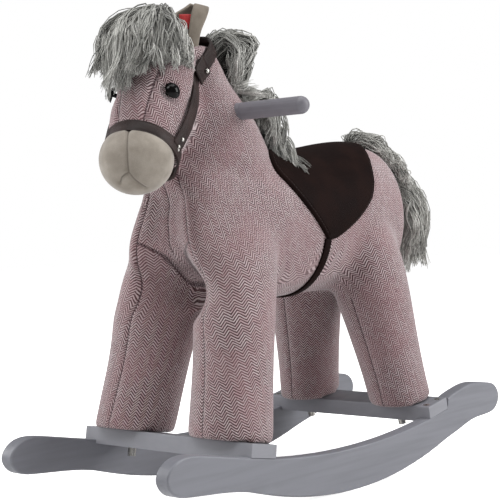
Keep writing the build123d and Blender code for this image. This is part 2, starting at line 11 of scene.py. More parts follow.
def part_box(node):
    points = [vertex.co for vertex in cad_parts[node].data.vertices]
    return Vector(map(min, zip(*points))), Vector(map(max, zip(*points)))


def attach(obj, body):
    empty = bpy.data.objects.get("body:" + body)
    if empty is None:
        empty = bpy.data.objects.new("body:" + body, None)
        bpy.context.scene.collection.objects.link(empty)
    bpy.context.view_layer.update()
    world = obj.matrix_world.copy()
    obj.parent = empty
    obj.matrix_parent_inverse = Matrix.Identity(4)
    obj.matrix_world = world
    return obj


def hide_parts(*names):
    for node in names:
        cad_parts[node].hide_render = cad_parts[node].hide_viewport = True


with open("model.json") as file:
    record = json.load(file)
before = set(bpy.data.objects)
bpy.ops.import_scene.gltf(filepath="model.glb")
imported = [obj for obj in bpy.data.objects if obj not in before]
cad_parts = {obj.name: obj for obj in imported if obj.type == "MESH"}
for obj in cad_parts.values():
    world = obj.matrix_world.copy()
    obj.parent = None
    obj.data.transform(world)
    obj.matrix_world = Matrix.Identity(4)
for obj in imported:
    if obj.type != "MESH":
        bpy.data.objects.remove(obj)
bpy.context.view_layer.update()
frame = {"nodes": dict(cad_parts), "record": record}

# A rocking horse. Lengths are metres unless a name or a note says millimetres.
NODES = frame["nodes"]
MM = 0.001
PER_METRE = 1000
TURN = 2 * math.pi
SIDES = {"left": 1, "right": -1}
SCENE = bpy.context.scene


def new_object(name, data):
    made = bpy.data.objects.new(name, data)
    SCENE.collection.objects.link(made)
    return made


# ---------------------------------------------------------------- camera and light
CAMERA_PLACE = (1.058259, -1.252142, 0.327300)
CAMERA_RIGHT = Vector((0.75597622, 0.65339024, -0.03976375))
CAMERA_UP = Vector((0.0013929, 0.05913942, 0.99824876))
FOCAL_LENGTH_MM = 96.55
SENSOR_MM = 36.0
CAMERA_SHIFT = 0.0417
NEAR_CLIP = 0.05
LIGHT_TARGET = Vector((0, -0.05, 0.3))
LIGHTS = {  # place, size and power
    "key": ((0.1, -1.8, 2.6), (1.2, 1.2), 36),
    "left": ((-2.0, -1.1, 1.1), (1.0, 1.8), 34),
    "right": ((1.9, 1.3, 1.2), (1.2, 1.8), 50),
    "top": ((0.2, 0.1, 2.4), (1.6, 1.6), 26),
}


def make_camera():
    data = bpy.data.cameras.new("camera")
    data.lens = FOCAL_LENGTH_MM
    data.sensor_width = SENSOR_MM
    data.shift_y = CAMERA_SHIFT
    data.clip_start = NEAR_CLIP
    camera = new_object("camera", data)
    back = CAMERA_RIGHT.cross(CAMERA_UP)
    rows = zip(CAMERA_RIGHT, CAMERA_UP, back, CAMERA_PLACE)
    camera.matrix_world = Matrix((*rows, (0, 0, 0, 1)))
    SCENE.camera = camera


def make_light(name, place, size, power):
    data = bpy.data.lights.new(name, "AREA")
    data.shape = "RECTANGLE"
    data.size, data.size_y = size
    data.energy = power
    light = new_object(name, data)
    light.location = place
    light.rotation_mode = "QUATERNION"
    light.rotation_quaternion = (LIGHT_TARGET - Vector(place)).to_track_quat("-Z", "Y")


# ---------------------------------------------------------------- materials
LOOKS = {}
MIX_FACTOR, MIX_A, MIX_B, MIX_RESULT = 0, 6, 7, 2  # the Mix node's colour sockets


class Shader:
    """A small builder for node materials around one Principled shader."""

    def __init__(self, name, **sockets):
        LOOKS[name] = material = bpy.data.materials.new(name)
        material.use_nodes = True
        self.tree = material.node_tree
        self.out = self.tree.nodes["Principled BSDF"].inputs
        for socket, value in sockets.items():
            self.out[socket.replace("_", " ")].default_value = value
        self.place = self.node("ShaderNodeTexCoord").outputs["Object"]

    def put(self, socket, value):
        if isinstance(value, bpy.types.NodeSocket):
            self.tree.links.new(value, socket)
        else:
            socket.default_value = value

    def node(self, kind, inputs=None, **settings):
        made = self.tree.nodes.new(kind)
        for key, value in settings.items():
            setattr(made, key, value)
        for key, value in (inputs or {}).items():
            self.put(made.inputs[key], value)
        return made

    def math(self, operation, *values):
        inputs = dict(enumerate(values))
        return self.node("ShaderNodeMath", inputs, operation=operation).outputs[0]

    def times(self, a, b):
        return self.math("MULTIPLY", a, b)

    def plus(self, a, b):
        return self.math("ADD", a, b)

    def mix(self, factor, a, b):
        a, b = (v if isinstance(v, bpy.types.NodeSocket) else (*v, 1.0) for v in (a, b))
        inputs = {MIX_FACTOR: factor, MIX_A: a, MIX_B: b}
        return self.node("ShaderNodeMix", inputs, data_type="RGBA").outputs[MIX_RESULT]

    def noise(self, scale, detail=3.0, stretch=None):
        vector = self.place
        if stretch:
            inputs = {"Vector": vector, "Scale": stretch}
            vector = self.node("ShaderNodeMapping", inputs).outputs[0]
        inputs = {"Vector": vector, "Scale": scale, "Detail": detail}
        return self.node("ShaderNodeTexNoise", inputs).outputs["Fac"]

    def cells(self, scale, feature="F1"):
        inputs = {"Vector": self.place, "Scale": scale}
        return self.node("ShaderNodeTexVoronoi", inputs, feature=feature).outputs["Distance"]

    def ramp(self, value, low, high, out_low=0.0, out_high=1.0):
        inputs = {
            "Value": value, "From Min": low, "From Max": high,
            "To Min": out_low, "To Max": out_high,
        }
        made = self.node("ShaderNodeMapRange", inputs, interpolation_type="SMOOTHSTEP")
        return made.outputs["Result"]

    def attribute(self, name, output="Vector"):
        return self.node("ShaderNodeAttribute", attribute_name=name).outputs[output]

    def split(self, vector):
        return self.node("ShaderNodeSeparateXYZ", {0: vector}).outputs

    def colour(self, value):
        self.put(self.out["Base Color"], value)

    def tones(self, value, low, high, a, b):
        """Base colour a where value is below low, and b where it is above high."""
        self.colour(self.mix(self.ramp(value, low, high), a, b))

    def roughness(self, value):
        self.put(self.out["Roughness"], value)

    def bump(self, height, distance, strength):
        inputs = {"Strength": strength, "Distance": distance, "Height": height}
        self.put(self.out["Normal"], self.node("ShaderNodeBump", inputs).outputs[0])


def srgb(*display):
    """Linear colour of an 8-bit display colour."""
    return tuple(
        v / 12.92 if v <= 0.04045 else ((v + 0.055) / 1.055) ** 2.4
        for v in (channel / 255 for channel in display)
    )


def scaled(colour, share):
    return tuple(c * share for c in colour)


TWILL_PITCH_MM = 3.4
ZIGZAG_MM = 11.8
ZIGZAG_SLOPE = 1.05
WOBBLE_MM = 1.6
STITCH_PITCH_MM = 3.4
TWEED_LIGHT = srgb(188, 172, 173)
TWEED_LIGHT_ROSE = srgb(172, 148, 150)
TWEED_DARK = srgb(56, 33, 36)
TWEED_DARK_ROSE = srgb(84, 53, 57)
TWEED_ROSE = srgb(142, 104, 108)
# The colour of the painted shade in the seams' grooves
TWEED_SEAM_SHADE = srgb(50, 30, 36)


def tweed_material():
    """Herringbone from the weave attribute, with painted shade along the seam attribute: darker in
    each seam's groove, most at the stitches.
    """
    s = Shader(
        "tweed", Roughness=0.9, Sheen_Weight=0.35, Sheen_Roughness=0.5, Specular_IOR_Level=0.2
    )
    weave = s.split(s.attribute("weave"))
    u, v = s.times(weave[0], PER_METRE), s.times(weave[1], PER_METRE)
    wobble = s.times(s.math("SUBTRACT", s.noise(90, 2), 0.5), WOBBLE_MM)
    columns = s.math("DIVIDE", s.plus(u, wobble), ZIGZAG_MM)
    rise = s.times(s.math("PINGPONG", columns, 0.5), ZIGZAG_MM * ZIGZAG_SLOPE)
    phase = s.math("DIVIDE", s.plus(s.plus(v, wobble), rise), TWILL_PITCH_MM)
    line = s.math("MULTIPLY_ADD", s.math("SINE", s.times(phase, TURN)), 0.5, 0.5)
    # Each thread has its own shade, and flecks of other colours run along it
    thread = {0: s.math("FLOOR", phase), 1: s.math("FLOOR", s.times(columns, 2))}
    seed = {"Vector": s.node("ShaderNodeCombineXYZ", thread).outputs[0]}
    shade = s.node("ShaderNodeTexWhiteNoise", seed, noise_dimensions="2D").outputs["Value"]
    fine = s.noise(620)
    light = s.mix(s.ramp(shade, 0, 1), TWEED_LIGHT, TWEED_LIGHT_ROSE)
    dark = s.mix(s.ramp(s.noise(900, 2), 0.35, 0.7), TWEED_DARK, TWEED_DARK_ROSE)
    base = s.mix(s.ramp(line, 0.38, 0.66), dark, light)
    base = s.mix(s.ramp(s.noise(22), 0.40, 0.66, 0, 0.28), base, TWEED_ROSE)
    base = s.mix(s.ramp(fine, 0.60, 0.74, 0, 0.5), base, TWEED_LIGHT)
    base = s.mix(s.ramp(fine, 0.42, 0.28, 0, 0.6), base, TWEED_DARK)
    # Painted shade: the colour darkens in each seam's groove, and more at each stitch along it
    seam = s.split(s.attribute("seam"))
    seam_shade_mask = s.ramp(s.times(seam[0], PER_METRE), 1.5, 0.35)
    stitches = s.math("PINGPONG", s.times(seam[1], PER_METRE / STITCH_PITCH_MM), 0.5)
    stitch_shade = s.math("MULTIPLY_ADD", s.ramp(stitches, 0.2, 0.3), 0.4, 0.55)
    s.colour(s.mix(s.times(seam_shade_mask, stitch_shade), base, TWEED_SEAM_SHADE))
    s.bump(s.plus(line, s.times(fine, 0.7)), 0.00045, 0.7)


def suede_material(name, light, dark, seam_shade_colour=None):
    s = Shader(
        name, Roughness=0.95, Sheen_Weight=0.35, Sheen_Roughness=0.45, Specular_IOR_Level=0.15
    )
    nap, fine = s.noise(60, 4), s.noise(1500, 2)
    base = s.mix(s.ramp(nap, 0.3, 0.7), light, dark)
    base = s.mix(s.ramp(fine, 0.35, 0.7, 0, 0.22), base, scaled(dark, 0.62))
    if seam_shade_colour:
        # Painted shade: darker in the seams' grooves
        gap = s.times(s.split(s.attribute("seam"))[0], PER_METRE)
        base = s.mix(s.ramp(gap, 1.3, 0.3, 0, 0.75), base, seam_shade_colour)
    s.colour(base)
    s.bump(s.plus(s.times(fine, 0.6), nap), 0.0003, 0.5)


def leather_material(name, light, dark, roughness, gloss):
    s = Shader(name, Roughness=roughness, Specular_IOR_Level=gloss)
    broad = s.noise(35, 4)
    s.tones(broad, 0.35, 0.68, dark, light)
    s.roughness(s.ramp(broad, 0.3, 0.7, roughness - 0.06, roughness + 0.08))
    s.bump(s.ramp(s.cells(900, "DISTANCE_TO_EDGE"), 0.0, 0.12), 0.00012, 0.5)


def paint_material(name, base, edge_highlight):
    s = Shader(name, Roughness=0.42, Specular_IOR_Level=0.45)
    grain = s.noise(18, 5, stretch=(3.0, 0.35, 6.0))
    orange_peel = s.noise(260, 2)
    # Painted highlight: a lighter grey on sharp convex edges, where rounded edges catch the light
    edge = s.ramp(s.node("ShaderNodeNewGeometry").outputs["Pointiness"], 0.52, 0.60, 0, 0.5)
    colour = s.mix(s.ramp(grain, 0.35, 0.7), base, scaled(base, 0.88))
    s.colour(s.mix(edge, colour, edge_highlight))
    s.roughness(s.ramp(grain, 0.3, 0.7, 0.38, 0.5))
    s.bump(s.plus(grain, s.times(orange_peel, 0.35)), 0.0003, 0.35)


def wood_material(name, light, dark):
    s = Shader(name, Roughness=0.6)
    rings = s.noise(30, 4, stretch=(6, 0.6, 6))
    fibre = s.noise(500, 2, stretch=(3, 0.1, 3))
    s.tones(s.plus(rings, s.times(fibre, 0.3)), 0.4, 0.85, light, dark)
    s.bump(fibre, 0.0002, 0.5)


def metal_material(name, light, dark):
    s = Shader(name, Roughness=0.28, Metallic=1.0)
    scratches = s.noise(700, stretch=(1, 1, 0.1))
    s.tones(scratches, 0.3, 0.7, light, dark)
    s.roughness(s.ramp(scratches, 0.3, 0.7, 0.2, 0.36))
    s.bump(scratches, 0.00005, 0.4)


def gloss_material(name, colour):
    s = Shader(name, Roughness=0.05, Specular_IOR_Level=0.14)
    s.tones(s.noise(140, 2), 0.3, 0.7, colour, tuple(c * 1.6 + 0.001 for c in colour))


def plastic_material(name, colour):
    s = Shader(name, Roughness=0.55)
    grain = s.noise(900, 2)
    s.tones(grain, 0.3, 0.7, colour, scaled(colour, 1.25))
    s.bump(grain, 0.0001, 0.4)


YARN_TONES = [srgb(76, 75, 72), srgb(160, 160, 155), srgb(214, 213, 208)]
YARN_CLUMP, YARN_FIBRE = srgb(120, 118, 112), srgb(92, 90, 86)


def yarn_material():
    s = Shader(
        "yarn", Roughness=0.85, Sheen_Weight=0.25, Sheen_Roughness=0.5, Specular_IOR_Level=0.25
    )
    tone = s.attribute("tone", "Fac")
    fibre = s.noise(700, 2)
    low, middle, high = YARN_TONES
    pale = s.mix(s.ramp(tone, 0.5, 1.0), middle, high)
    deep = s.mix(s.ramp(tone, 0.0, 0.5), low, middle)
    base = s.mix(s.ramp(tone, 0.45, 0.55), deep, pale)
    base = s.mix(s.ramp(s.noise(45, 2), 0.55, 0.3, 0, 0.35), base, YARN_CLUMP)
    s.colour(s.mix(s.ramp(fibre, 0.6, 0.35, 0, 0.3), base, YARN_FIBRE))
    s.bump(fibre, 0.0003, 0.6)


def tag_material(name, light, dark):
    s = Shader(name, Roughness=0.8, Sheen_Weight=0.2)
    wave = s.cells(1400)
    s.tones(wave, 0.1, 0.6, light, dark)
    s.bump(wave, 0.0002, 0.6)


FLOOR_GLOW = (0.08, 0.85)  # to light rays and to the camera


def floor_material():
    s = Shader("studio_floor", Roughness=0.9, Specular_IOR_Level=0.1)
    s.colour(s.mix(s.noise(2, 2), (0.86, 0.86, 0.86), (0.9, 0.9, 0.9)))
    s.out["Emission Color"].default_value = (1, 1, 1, 1)
    seen = s.node("ShaderNodeLightPath").outputs["Is Camera Ray"]
    s.put(s.out["Emission Strength"], s.ramp(seen, 0, 1, *FLOOR_GLOW))


def make_looks():
    tweed_material()
    # The muzzle's third colour is the painted shade in its seams' grooves
    suede_material("muzzle_suede", srgb(156, 148, 138), srgb(136, 128, 118), srgb(104, 97, 89))
    suede_material("ear_suede", srgb(134, 125, 114), srgb(114, 106, 96))
    leather_material("saddle_leather", srgb(29, 18, 16), srgb(21, 12, 11), 0.55, 0.03)
    leather_material("bridle_leather", srgb(52, 39, 37), srgb(36, 26, 25), 0.42, 0.2)
    # The second grey of each paint is its painted edge highlight
    paint_material("rocker_paint", srgb(116, 117, 124), srgb(142, 142, 148))
    paint_material("handle_paint", srgb(114, 112, 119), srgb(134, 133, 139))
    wood_material("inner_wood", srgb(214, 184, 140), srgb(184, 146, 98))
    metal_material("nickel", srgb(205, 203, 198), srgb(160, 158, 153))
    gloss_material("eye_gloss", srgb(8, 7, 7))
    plastic_material("dark_plastic", srgb(62, 62, 66))
    yarn_material()
    tag_material("red_tag", srgb(190, 34, 32), srgb(142, 18, 20))
    floor_material()


# ---------------------------------------------------------------- mesh helpers
def add_piece(name, mesh, look, body="horse", replaced=()):
    mesh.name = name
    mesh.polygons.foreach_set("use_smooth", [True] * len(mesh.polygons))
    mesh.materials.clear()
    mesh.materials.append(LOOKS[look])
    piece = new_object(name, mesh)
    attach(piece, body)
    if replaced:
        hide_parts(*replaced)
    return piece


def new_mesh(verts, faces, closed=True):
    """A mesh whose faces look outward where it is closed."""
    mesh = bpy.data.meshes.new("made")
    mesh.from_pydata(np.asarray(verts, float).tolist(), [], faces)
    mesh.validate()
    if closed:
        bm = bmesh.new()
        bm.from_mesh(mesh)
        bmesh.ops.recalc_face_normals(bm, faces=bm.faces)
        bm.to_mesh(mesh)
        bm.free()
    return mesh


def tube_faces(base, rings, sides, loop=False):
    """Faces of a tube whose rings follow each other from point number base on."""
    faces = []
    for i in range(rings if loop else rings - 1):
        low, high = base + i * sides, base + (i + 1) % rings * sides
        for k in range(sides):
            m = (k + 1) % sides
            faces.append((low + k, low + m, high + m, high + k))
    if not loop:
        faces.append(tuple(base + k for k in reversed(range(sides))))
        faces.append(tuple(base + (rings - 1) * sides + k for k in range(sides)))
    return faces


def pad_mesh(outer, inner, rows, columns):
    """A closed pad between two grids of points, each with rows by columns."""
    total = rows * columns
    number = np.arange(total).reshape(rows, columns)
    a, b = number[:-1, :-1].ravel(), number[1:, :-1].ravel()
    faces = np.stack([a, b, b + 1, a + 1], 1).tolist()
    faces += (np.stack([a, a + 1, b + 1, b], 1) + total).tolist()
    rim = [*number[0], *number[1:, -1], *number[-1, -2::-1], *number[-2:0:-1, 0]]
    rim = [int(i) for i in rim]
    faces += [(i, j, j + total, i + total) for i, j in zip(rim, rim[1:] + rim[:1])]
    return new_mesh([*outer, *inner], faces)


def read(rows, name, width=3, kind=float):
    values = np.zeros(len(rows) * width, kind)
    rows.foreach_get(name, values)
    return values.reshape(-1, width) if width > 1 else values


def points_of(mesh):
    return read(mesh.vertices, "co")


def normals_of(mesh):
    return read(mesh.vertices, "normal")


def set_points(mesh, co):
    mesh.vertices.foreach_set("co", co.ravel())
    mesh.update()


def set_values(mesh, name, values, domain="POINT"):
    """Stores a number or a vector for each point or corner."""
    values = np.asarray(values, np.float32)
    kind, field = ("FLOAT_VECTOR", "vector") if values.shape[-1] == 3 else ("FLOAT", "value")
    mesh.attributes.new(name, kind, domain).data.foreach_set(field, values.ravel())


def unit(vectors):
    vectors = np.asarray(vectors, float)
    return vectors / np.linalg.norm(vectors, axis=-1, keepdims=True)


def evaluated_copy(piece):
    graph = bpy.context.evaluated_depsgraph_get()
    graph.update()
    return bpy.data.meshes.new_from_object(piece.evaluated_get(graph), depsgraph=graph)


def with_modifier(mesh, kind, **settings):
    """The mesh with one modifier applied."""
    holder = new_object("holder", mesh)
    modifier = holder.modifiers.new("m", kind)
    for key, value in settings.items():
        setattr(modifier, key, value)
    made = evaluated_copy(holder)
    bpy.data.objects.remove(holder)
    return made


def subdivided(mesh):
    return with_modifier(mesh, "SUBSURF", levels=1, render_levels=1)


def joined_mesh(names, plug=None):
    """The named nodes as one mesh, with a plug along X given by its middle, radius and length."""
    bm = bmesh.new()
    for name in names:
        bm.from_mesh(NODES[name].data)
    if plug:
        middle, radius, length = plug
        made = bmesh.ops.create_cone(
            bm, cap_ends=True, segments=32, radius1=radius, radius2=radius, depth=length
        )
        for v in made["verts"]:
            v.co = Vector((v.co.z, v.co.y, -v.co.x)) + Vector(middle)
    mesh = bpy.data.meshes.new("joined")
    bm.to_mesh(mesh)
    bm.free()
    return mesh


def keep_biggest(mesh):
    """Removes the walls of closed hollows that a remesh leaves inside."""
    bm = bmesh.new()
    bm.from_mesh(mesh)
    seen = set()
    islands = []
    for start in bm.verts:
        if start in seen:
            continue
        seen.add(start)
        island = [start]
        for v in island:
            others = [e.other_vert(v) for e in v.link_edges]
            fresh = [o for o in others if o not in seen]
            seen.update(fresh)
            island += fresh
        islands.append(island)
    islands.sort(key=len)
    doomed = [v for island in islands[:-1] for v in island]
    bmesh.ops.delete(bm, geom=doomed, context="VERTS")
    bm.to_mesh(mesh)
    bm.free()
    return mesh


def smooth_points(mesh, weights, rounds):
    """Laplacian smoothing, stronger where weights are nearer to 1."""
    co = points_of(mesh)
    a, b = read(mesh.edges, "vertices", 2, int).T
    size = len(co)
    count = np.bincount(a, minlength=size) + np.bincount(b, minlength=size)
    for _ in range(rounds):
        total = np.stack([
            np.bincount(a, line[b], size) + np.bincount(b, line[a], size) for line in co.T
        ], 1)
        mean = total / np.maximum(count, 1)[:, None]
        co += weights[:, None] * 0.5 * (mean - co)
    set_points(mesh, co)


def tree_of(mesh):
    return BVHTree.FromPolygons(
        [tuple(c) for c in points_of(mesh)], [tuple(p.vertices) for p in mesh.polygons]
    )


def smoothstep(low, high, x):
    t = np.clip((x - low) / (high - low), 0, 1)
    return t * t * (3 - 2 * t)


# ---------------------------------------------------------------- the head's own frame
HEAD_TURN = math.radians(20)
HEAD_BASE_MM = np.array((0, -166.5, 0))
HEAD_SIDE = np.array((math.cos(HEAD_TURN), math.sin(HEAD_TURN), 0))
HEAD_AHEAD = np.array((math.sin(HEAD_TURN), -math.cos(HEAD_TURN), 0))
UP = np.array((0.0, 0.0, 1.0))


def head_point(sideways, ahead, height):
    """World place, in metres, of a point given in millimetres in the turned head's frame."""
    return (HEAD_BASE_MM + sideways * HEAD_SIDE + ahead * HEAD_AHEAD + height * UP) * MM


def head_coords(co):
    """Sideways, ahead and height, in millimetres, of world points in metres."""
    place = np.atleast_2d(co) / MM - HEAD_BASE_MM
    return place @ HEAD_SIDE, place @ HEAD_AHEAD, place[:, 2]


STRAP_SPOT = (63.0, 400.0)  # ahead and height of a point on the cheek strap, and its normal
STRAP_NORMAL = np.array((0.745, 0.667)) / np.hypot(0.745, 0.667)


def before_strap(co):
    """How far in front of the cheek strap's middle plane, in millimetres."""
    _, ahead, height = head_coords(co)
    return (ahead - STRAP_SPOT[0]) * STRAP_NORMAL[0] + (height - STRAP_SPOT[1]) * STRAP_NORMAL[1]


# ---------------------------------------------------------------- the tweed skin
FOOT_Z_MM = 78.7
LEGS = {  # x and y of the axis at the foot, inward lean, lean along Y, all per mm of height
    "front": (75.0, -163.0, 0.142, 0.28),
    "rear": (74.0, 168.0, 0.142, -0.19),
}
SOFT_NODES = [
    "torso", "neck", "head", *[f"leg_{end}_{side}" for end in LEGS for side in SIDES],
]
FRAME_NODES = [
    "spine_board", "neck_board", "sound_box", "frame_screws", "eye_washers",
    *[f"leg_post_{end}_{side}" for end in LEGS for side in SIDES],
]
FOREHEAD_MM = (15.0, 425.0)  # half the forehead panel's width, and the height where it is that
FOREHEAD_SPREAD = 0.095
GUSSET_MM = 134.0  # the inner leg panels end where z + slope * y comes to this
GUSSET_SLOPE = 0.9
GUSSET_LOW_MM = 215.0
CENTRE_LOW_MM = 284.0
CHEST_BREAK_MM = 268.0
CHEST_INWARD = 0.12
NO_SEAM_MM = 30.0


def leg_axis(end, z):
    x, y, inward, along = LEGS[end]
    rise = z - FOOT_Z_MM
    return x - inward * rise, y + along * rise


def seam_x(end, z):
    """Distance of a leg's seam plane from the middle; it leans in more over the chest."""
    return leg_axis(end, z)[0] - CHEST_INWARD * np.maximum(0, z - CHEST_BREAK_MM) * (end == "front")


def side_forehead(side, height):
    """How far outside the forehead panel's seams, in millimetres."""
    return np.abs(side) - FOREHEAD_MM[0] - FOREHEAD_SPREAD * (height - FOREHEAD_MM[1])


def seam_table(co):
    """Distance in metres to the nearest seam and the place along it, for points in metres."""
    x, y, z = (co / MM).T
    side, ahead, height = head_coords(co)
    on_head = before_strap(co) > 0
    flat = np.abs(x)
    best = np.full(len(co), NO_SEAM_MM)
    run = z.copy()

    def offer(distance, where, along):
        nonlocal best, run
        closer = where & (np.abs(distance) < best)
        best = np.where(closer, np.abs(distance), best)
        run = np.where(closer, along, run)

    for end, outward, top in (("front", -1, 400), ("rear", 1, 300)):
        gap = flat - seam_x(end, z)
        facing = outward * (y - leg_axis(end, z)[1])
        offer(gap, ~on_head & (facing > 10) & (z < top), z)
        offer(gap, (facing < -10) & (facing > -60) & (z < GUSSET_LOW_MM), z)
    offer(flat, ~on_head & (y < -110) & (z > CENTRE_LOW_MM), z)
    offer(flat, ~on_head & (y > 200) & (z > 225), z)
    gusset = (z - GUSSET_MM + GUSSET_SLOPE * y) / math.hypot(1, GUSSET_SLOPE)
    between = (flat < seam_x("front", z)) & (y < -60) & (z > GUSSET_LOW_MM)
    offer(gusset, ~on_head & between, flat)
    offer(side_forehead(side, height), on_head & (ahead > 30), height)
    offer(side, on_head & (ahead < 40) & (height < 430), ahead)
    return best * MM, run * MM


def cut_plane(bm, place, normal, test):
    faces = [f for f in bm.faces if test(f.calc_center_median())]
    edges = {e for f in faces for e in f.edges}
    verts = {v for f in faces for v in f.verts}
    bmesh.ops.bisect_plane(
        bm,
        geom=[*verts, *edges, *faces],
        dist=0.0004,
        plane_co=Vector(place),
        plane_no=Vector(normal).normalized(),
    )


def cut_seams(mesh):
    """Adds an edge loop along every seam, so that its groove and the change of weave are sharp."""
    bm = bmesh.new()
    bm.from_mesh(mesh)
    chest_break = CHEST_BREAK_MM * MM

    def is_head(c):
        return before_strap(c)[0] > -4

    for sign in SIDES.values():
        for end, top in (("front", chest_break), ("rear", 0.31)):
            x, y, inward, _ = LEGS[end]
            cut_plane(
                bm, (sign * x * MM, y * MM, FOOT_Z_MM * MM), (sign, 0, inward),
                lambda c: c.x * sign > 0.004 and (c.y < 0) == (end == "front")
                and c.z < top and (abs(c.y) > 0.1 or c.z < 0.22),
            )
        break_x = leg_axis("front", CHEST_BREAK_MM)[0] * MM
        cut_plane(
            bm, (sign * break_x, 0, chest_break), (sign, 0, LEGS["front"][2] + CHEST_INWARD),
            lambda c: c.x * sign > 0 and c.y < -0.1 and chest_break <= c.z < 0.41,
        )
    cut_plane(
        bm, (0, 0, GUSSET_MM * MM), (0, GUSSET_SLOPE, 1),
        lambda c: abs(c.x) < 0.05 and c.y < -0.06 and GUSSET_LOW_MM * MM < c.z < 0.3,
    )
    for sign in SIDES.values():
        cut_plane(
            bm, head_point(sign * FOREHEAD_MM[0], 0, FOREHEAD_MM[1]),
            HEAD_SIDE * sign - FOREHEAD_SPREAD * UP,
            lambda c: c.z > 0.36 and is_head(c)
            and head_coords(c)[0][0] * sign > 4 and head_coords(c)[1][0] > 20,
        )
    cut_plane(
        bm, (0, 0, 0), (1, 0, 0),
        lambda c: abs(c.x) < 0.02 and not (c.z > 0.36 and is_head(c)),
    )
    bm.normal_update()
    bm.to_mesh(mesh)
    bm.free()


CLOTH = {
    "quality": 4, "mass": 0.4, "tension_stiffness": 25, "compression_stiffness": 25,
    "shear_stiffness": 10, "bending_stiffness": 1.0, "use_pressure": True,
    "uniform_pressure_force": 3.0, "vertex_group_mass": "pin",
}
CLOTH_FRAMES = 16
MOST_SWELL = 0.0045


def simulate_pressure(mesh, pinned):
    """Blows the closed skin up a little against its seams, as stuffing does."""
    holder = new_object("sim", mesh)
    group = holder.vertex_groups.new(name="pin")
    for index in np.nonzero(pinned > 0.01)[0]:
        group.add([int(index)], float(pinned[index]), "REPLACE")
    start = points_of(mesh)
    cloth = holder.modifiers.new("cloth", "CLOTH")
    for key, value in CLOTH.items():
        setattr(cloth.settings, key, value)
    cloth.settings.effector_weights.gravity = 0
    cloth.collision_settings.use_collision = False
    for number in range(1, CLOTH_FRAMES + 1):
        SCENE.frame_set(number)
    made = evaluated_copy(holder)
    moved = points_of(made) - start
    length = np.linalg.norm(moved, axis=1)
    scale = np.where(length > MOST_SWELL, MOST_SWELL / np.maximum(length, 1e-9), 1.0)
    set_points(made, start + moved * scale[:, None])
    holder.modifiers.clear()
    bpy.data.objects.remove(holder)
    SCENE.frame_set(1)
    return made


FOOT_GAP = 0.0004
FOOT_TOP = 0.12


def rest_on_bars(co):
    """Lifts the soles off the top face of each crossbar."""
    for end in LEGS:
        up = [p for p in NODES[f"{end}_crossbar"].data.polygons if p.normal.z > 0.95]
        top = max(up, key=lambda p: p.area)
        normal = np.array(top.normal)
        depth = (co - np.array(top.center)) @ normal
        low = ((co[:, 1] < 0) == (end == "front")) & (depth < FOOT_GAP) & (co[:, 2] < FOOT_TOP)
        co[low] += (FOOT_GAP - depth[low])[:, None] * normal
    return co


# The weave runs at 16 degrees to the body panels and 18 degrees to the head panels
BODY_COS, BODY_SIN = math.cos(math.radians(16)), math.sin(math.radians(16))
HEAD_COS, HEAD_SIN = 0.951, 0.31
NECK_Z = (340, 366, 410, 450, 490, 518)
NECK_MIDDLE_Y = (-110, -100, -95, -100, -112, -126)
NECK_RADIUS = (95, 80, 66, 57, 52, 48)
LEG_RADIUS = 46.0
RUMP_Y, RUMP_RADIUS = 190, 70
HEAD_FLAT = np.array(((-0.4836, 0.8753, 0.0), (0.303, 0.167, -0.938)))


def weave_place(centre, normal, co):
    """Fabric coordinates in metres for points co, each on the panel of its face's centre."""
    cx, cy, cz = (centre / MM).T
    x, y, z = (co / MM).T
    flat = x * np.where(cx >= 0, 1.0, -1.0)
    c_flat = np.abs(cx)
    front = cy < 0
    # Outer side panel: round the leg below, straight along the body above
    ax, ay = (np.where(front, f, r) for f, r in zip(leg_axis("front", z), leg_axis("rear", z)))
    outward = np.where(front, -1.0, 1.0)
    around_leg = np.arctan2(outward * (y - ay), flat - ax)
    on_leg = np.where(front, -112.0, 134.0) + outward * LEG_RADIUS * around_leg
    neck_y = np.interp(z, NECK_Z, NECK_MIDDLE_Y)
    width = np.maximum(flat, 0.1)
    round_neck = neck_y - np.interp(z, NECK_Z, NECK_RADIUS) * np.arctan2(neck_y - y, width)
    on_body = np.where(y < neck_y, round_neck, y)
    round_rump = RUMP_Y + RUMP_RADIUS * np.arctan2(y - RUMP_Y, width)
    on_body = np.where(y > RUMP_Y, round_rump, on_body)
    k = smoothstep(225, 290, z)
    run = (1 - k) * on_leg + k * on_body
    u = BODY_COS * run + BODY_SIN * z
    v = BODY_COS * z - BODY_SIN * run
    # Inner leg panels, belly and chest gusset
    between = (c_flat < seam_x("front", cz)) & (cy < -60)
    rise = cz + GUSSET_SLOPE * cy
    low_rear = ~front & (c_flat < leg_axis("rear", cz)[0]) & (cz < 232)
    underside = normal[:, 2] < -0.7
    leg_inner = ((between & (rise < GUSSET_MM)) | low_rear) & ~underside
    inner_turn = np.arctan2(outward * (y - ay), ax - flat)
    belly = underside & (cz > 150) & (cz < 262) & (before_strap(centre) < 0)
    chest = between & (rise > GUSSET_MM) & (cz > GUSSET_LOW_MM)
    # Head panels
    side, ahead, height = head_coords(co)
    c_side, c_ahead, c_height = head_coords(centre)
    on_head = (before_strap(centre) > 0) & (cz > 330)
    p, q = HEAD_FLAT @ np.stack([np.abs(side), ahead, height])
    brow = on_head & (side_forehead(c_side, c_height) < 0) & (c_ahead > 20)
    for where, new_u, new_v in (
        (leg_inner, 30 + LEG_RADIUS * inner_turn, z),
        (belly, flat, y),
        (chest, flat + 0.18 * z, z),
        (on_head, HEAD_COS * p + HEAD_SIN * q, HEAD_COS * q - HEAD_SIN * p),
        (brow, side + 0.25 * height, 0.45 * ahead - 0.9 * height),
    ):
        u, v = np.where(where, new_u, u), np.where(where, new_v, v)
    return np.stack([u * MM, v * MM, np.zeros_like(u)], 1)


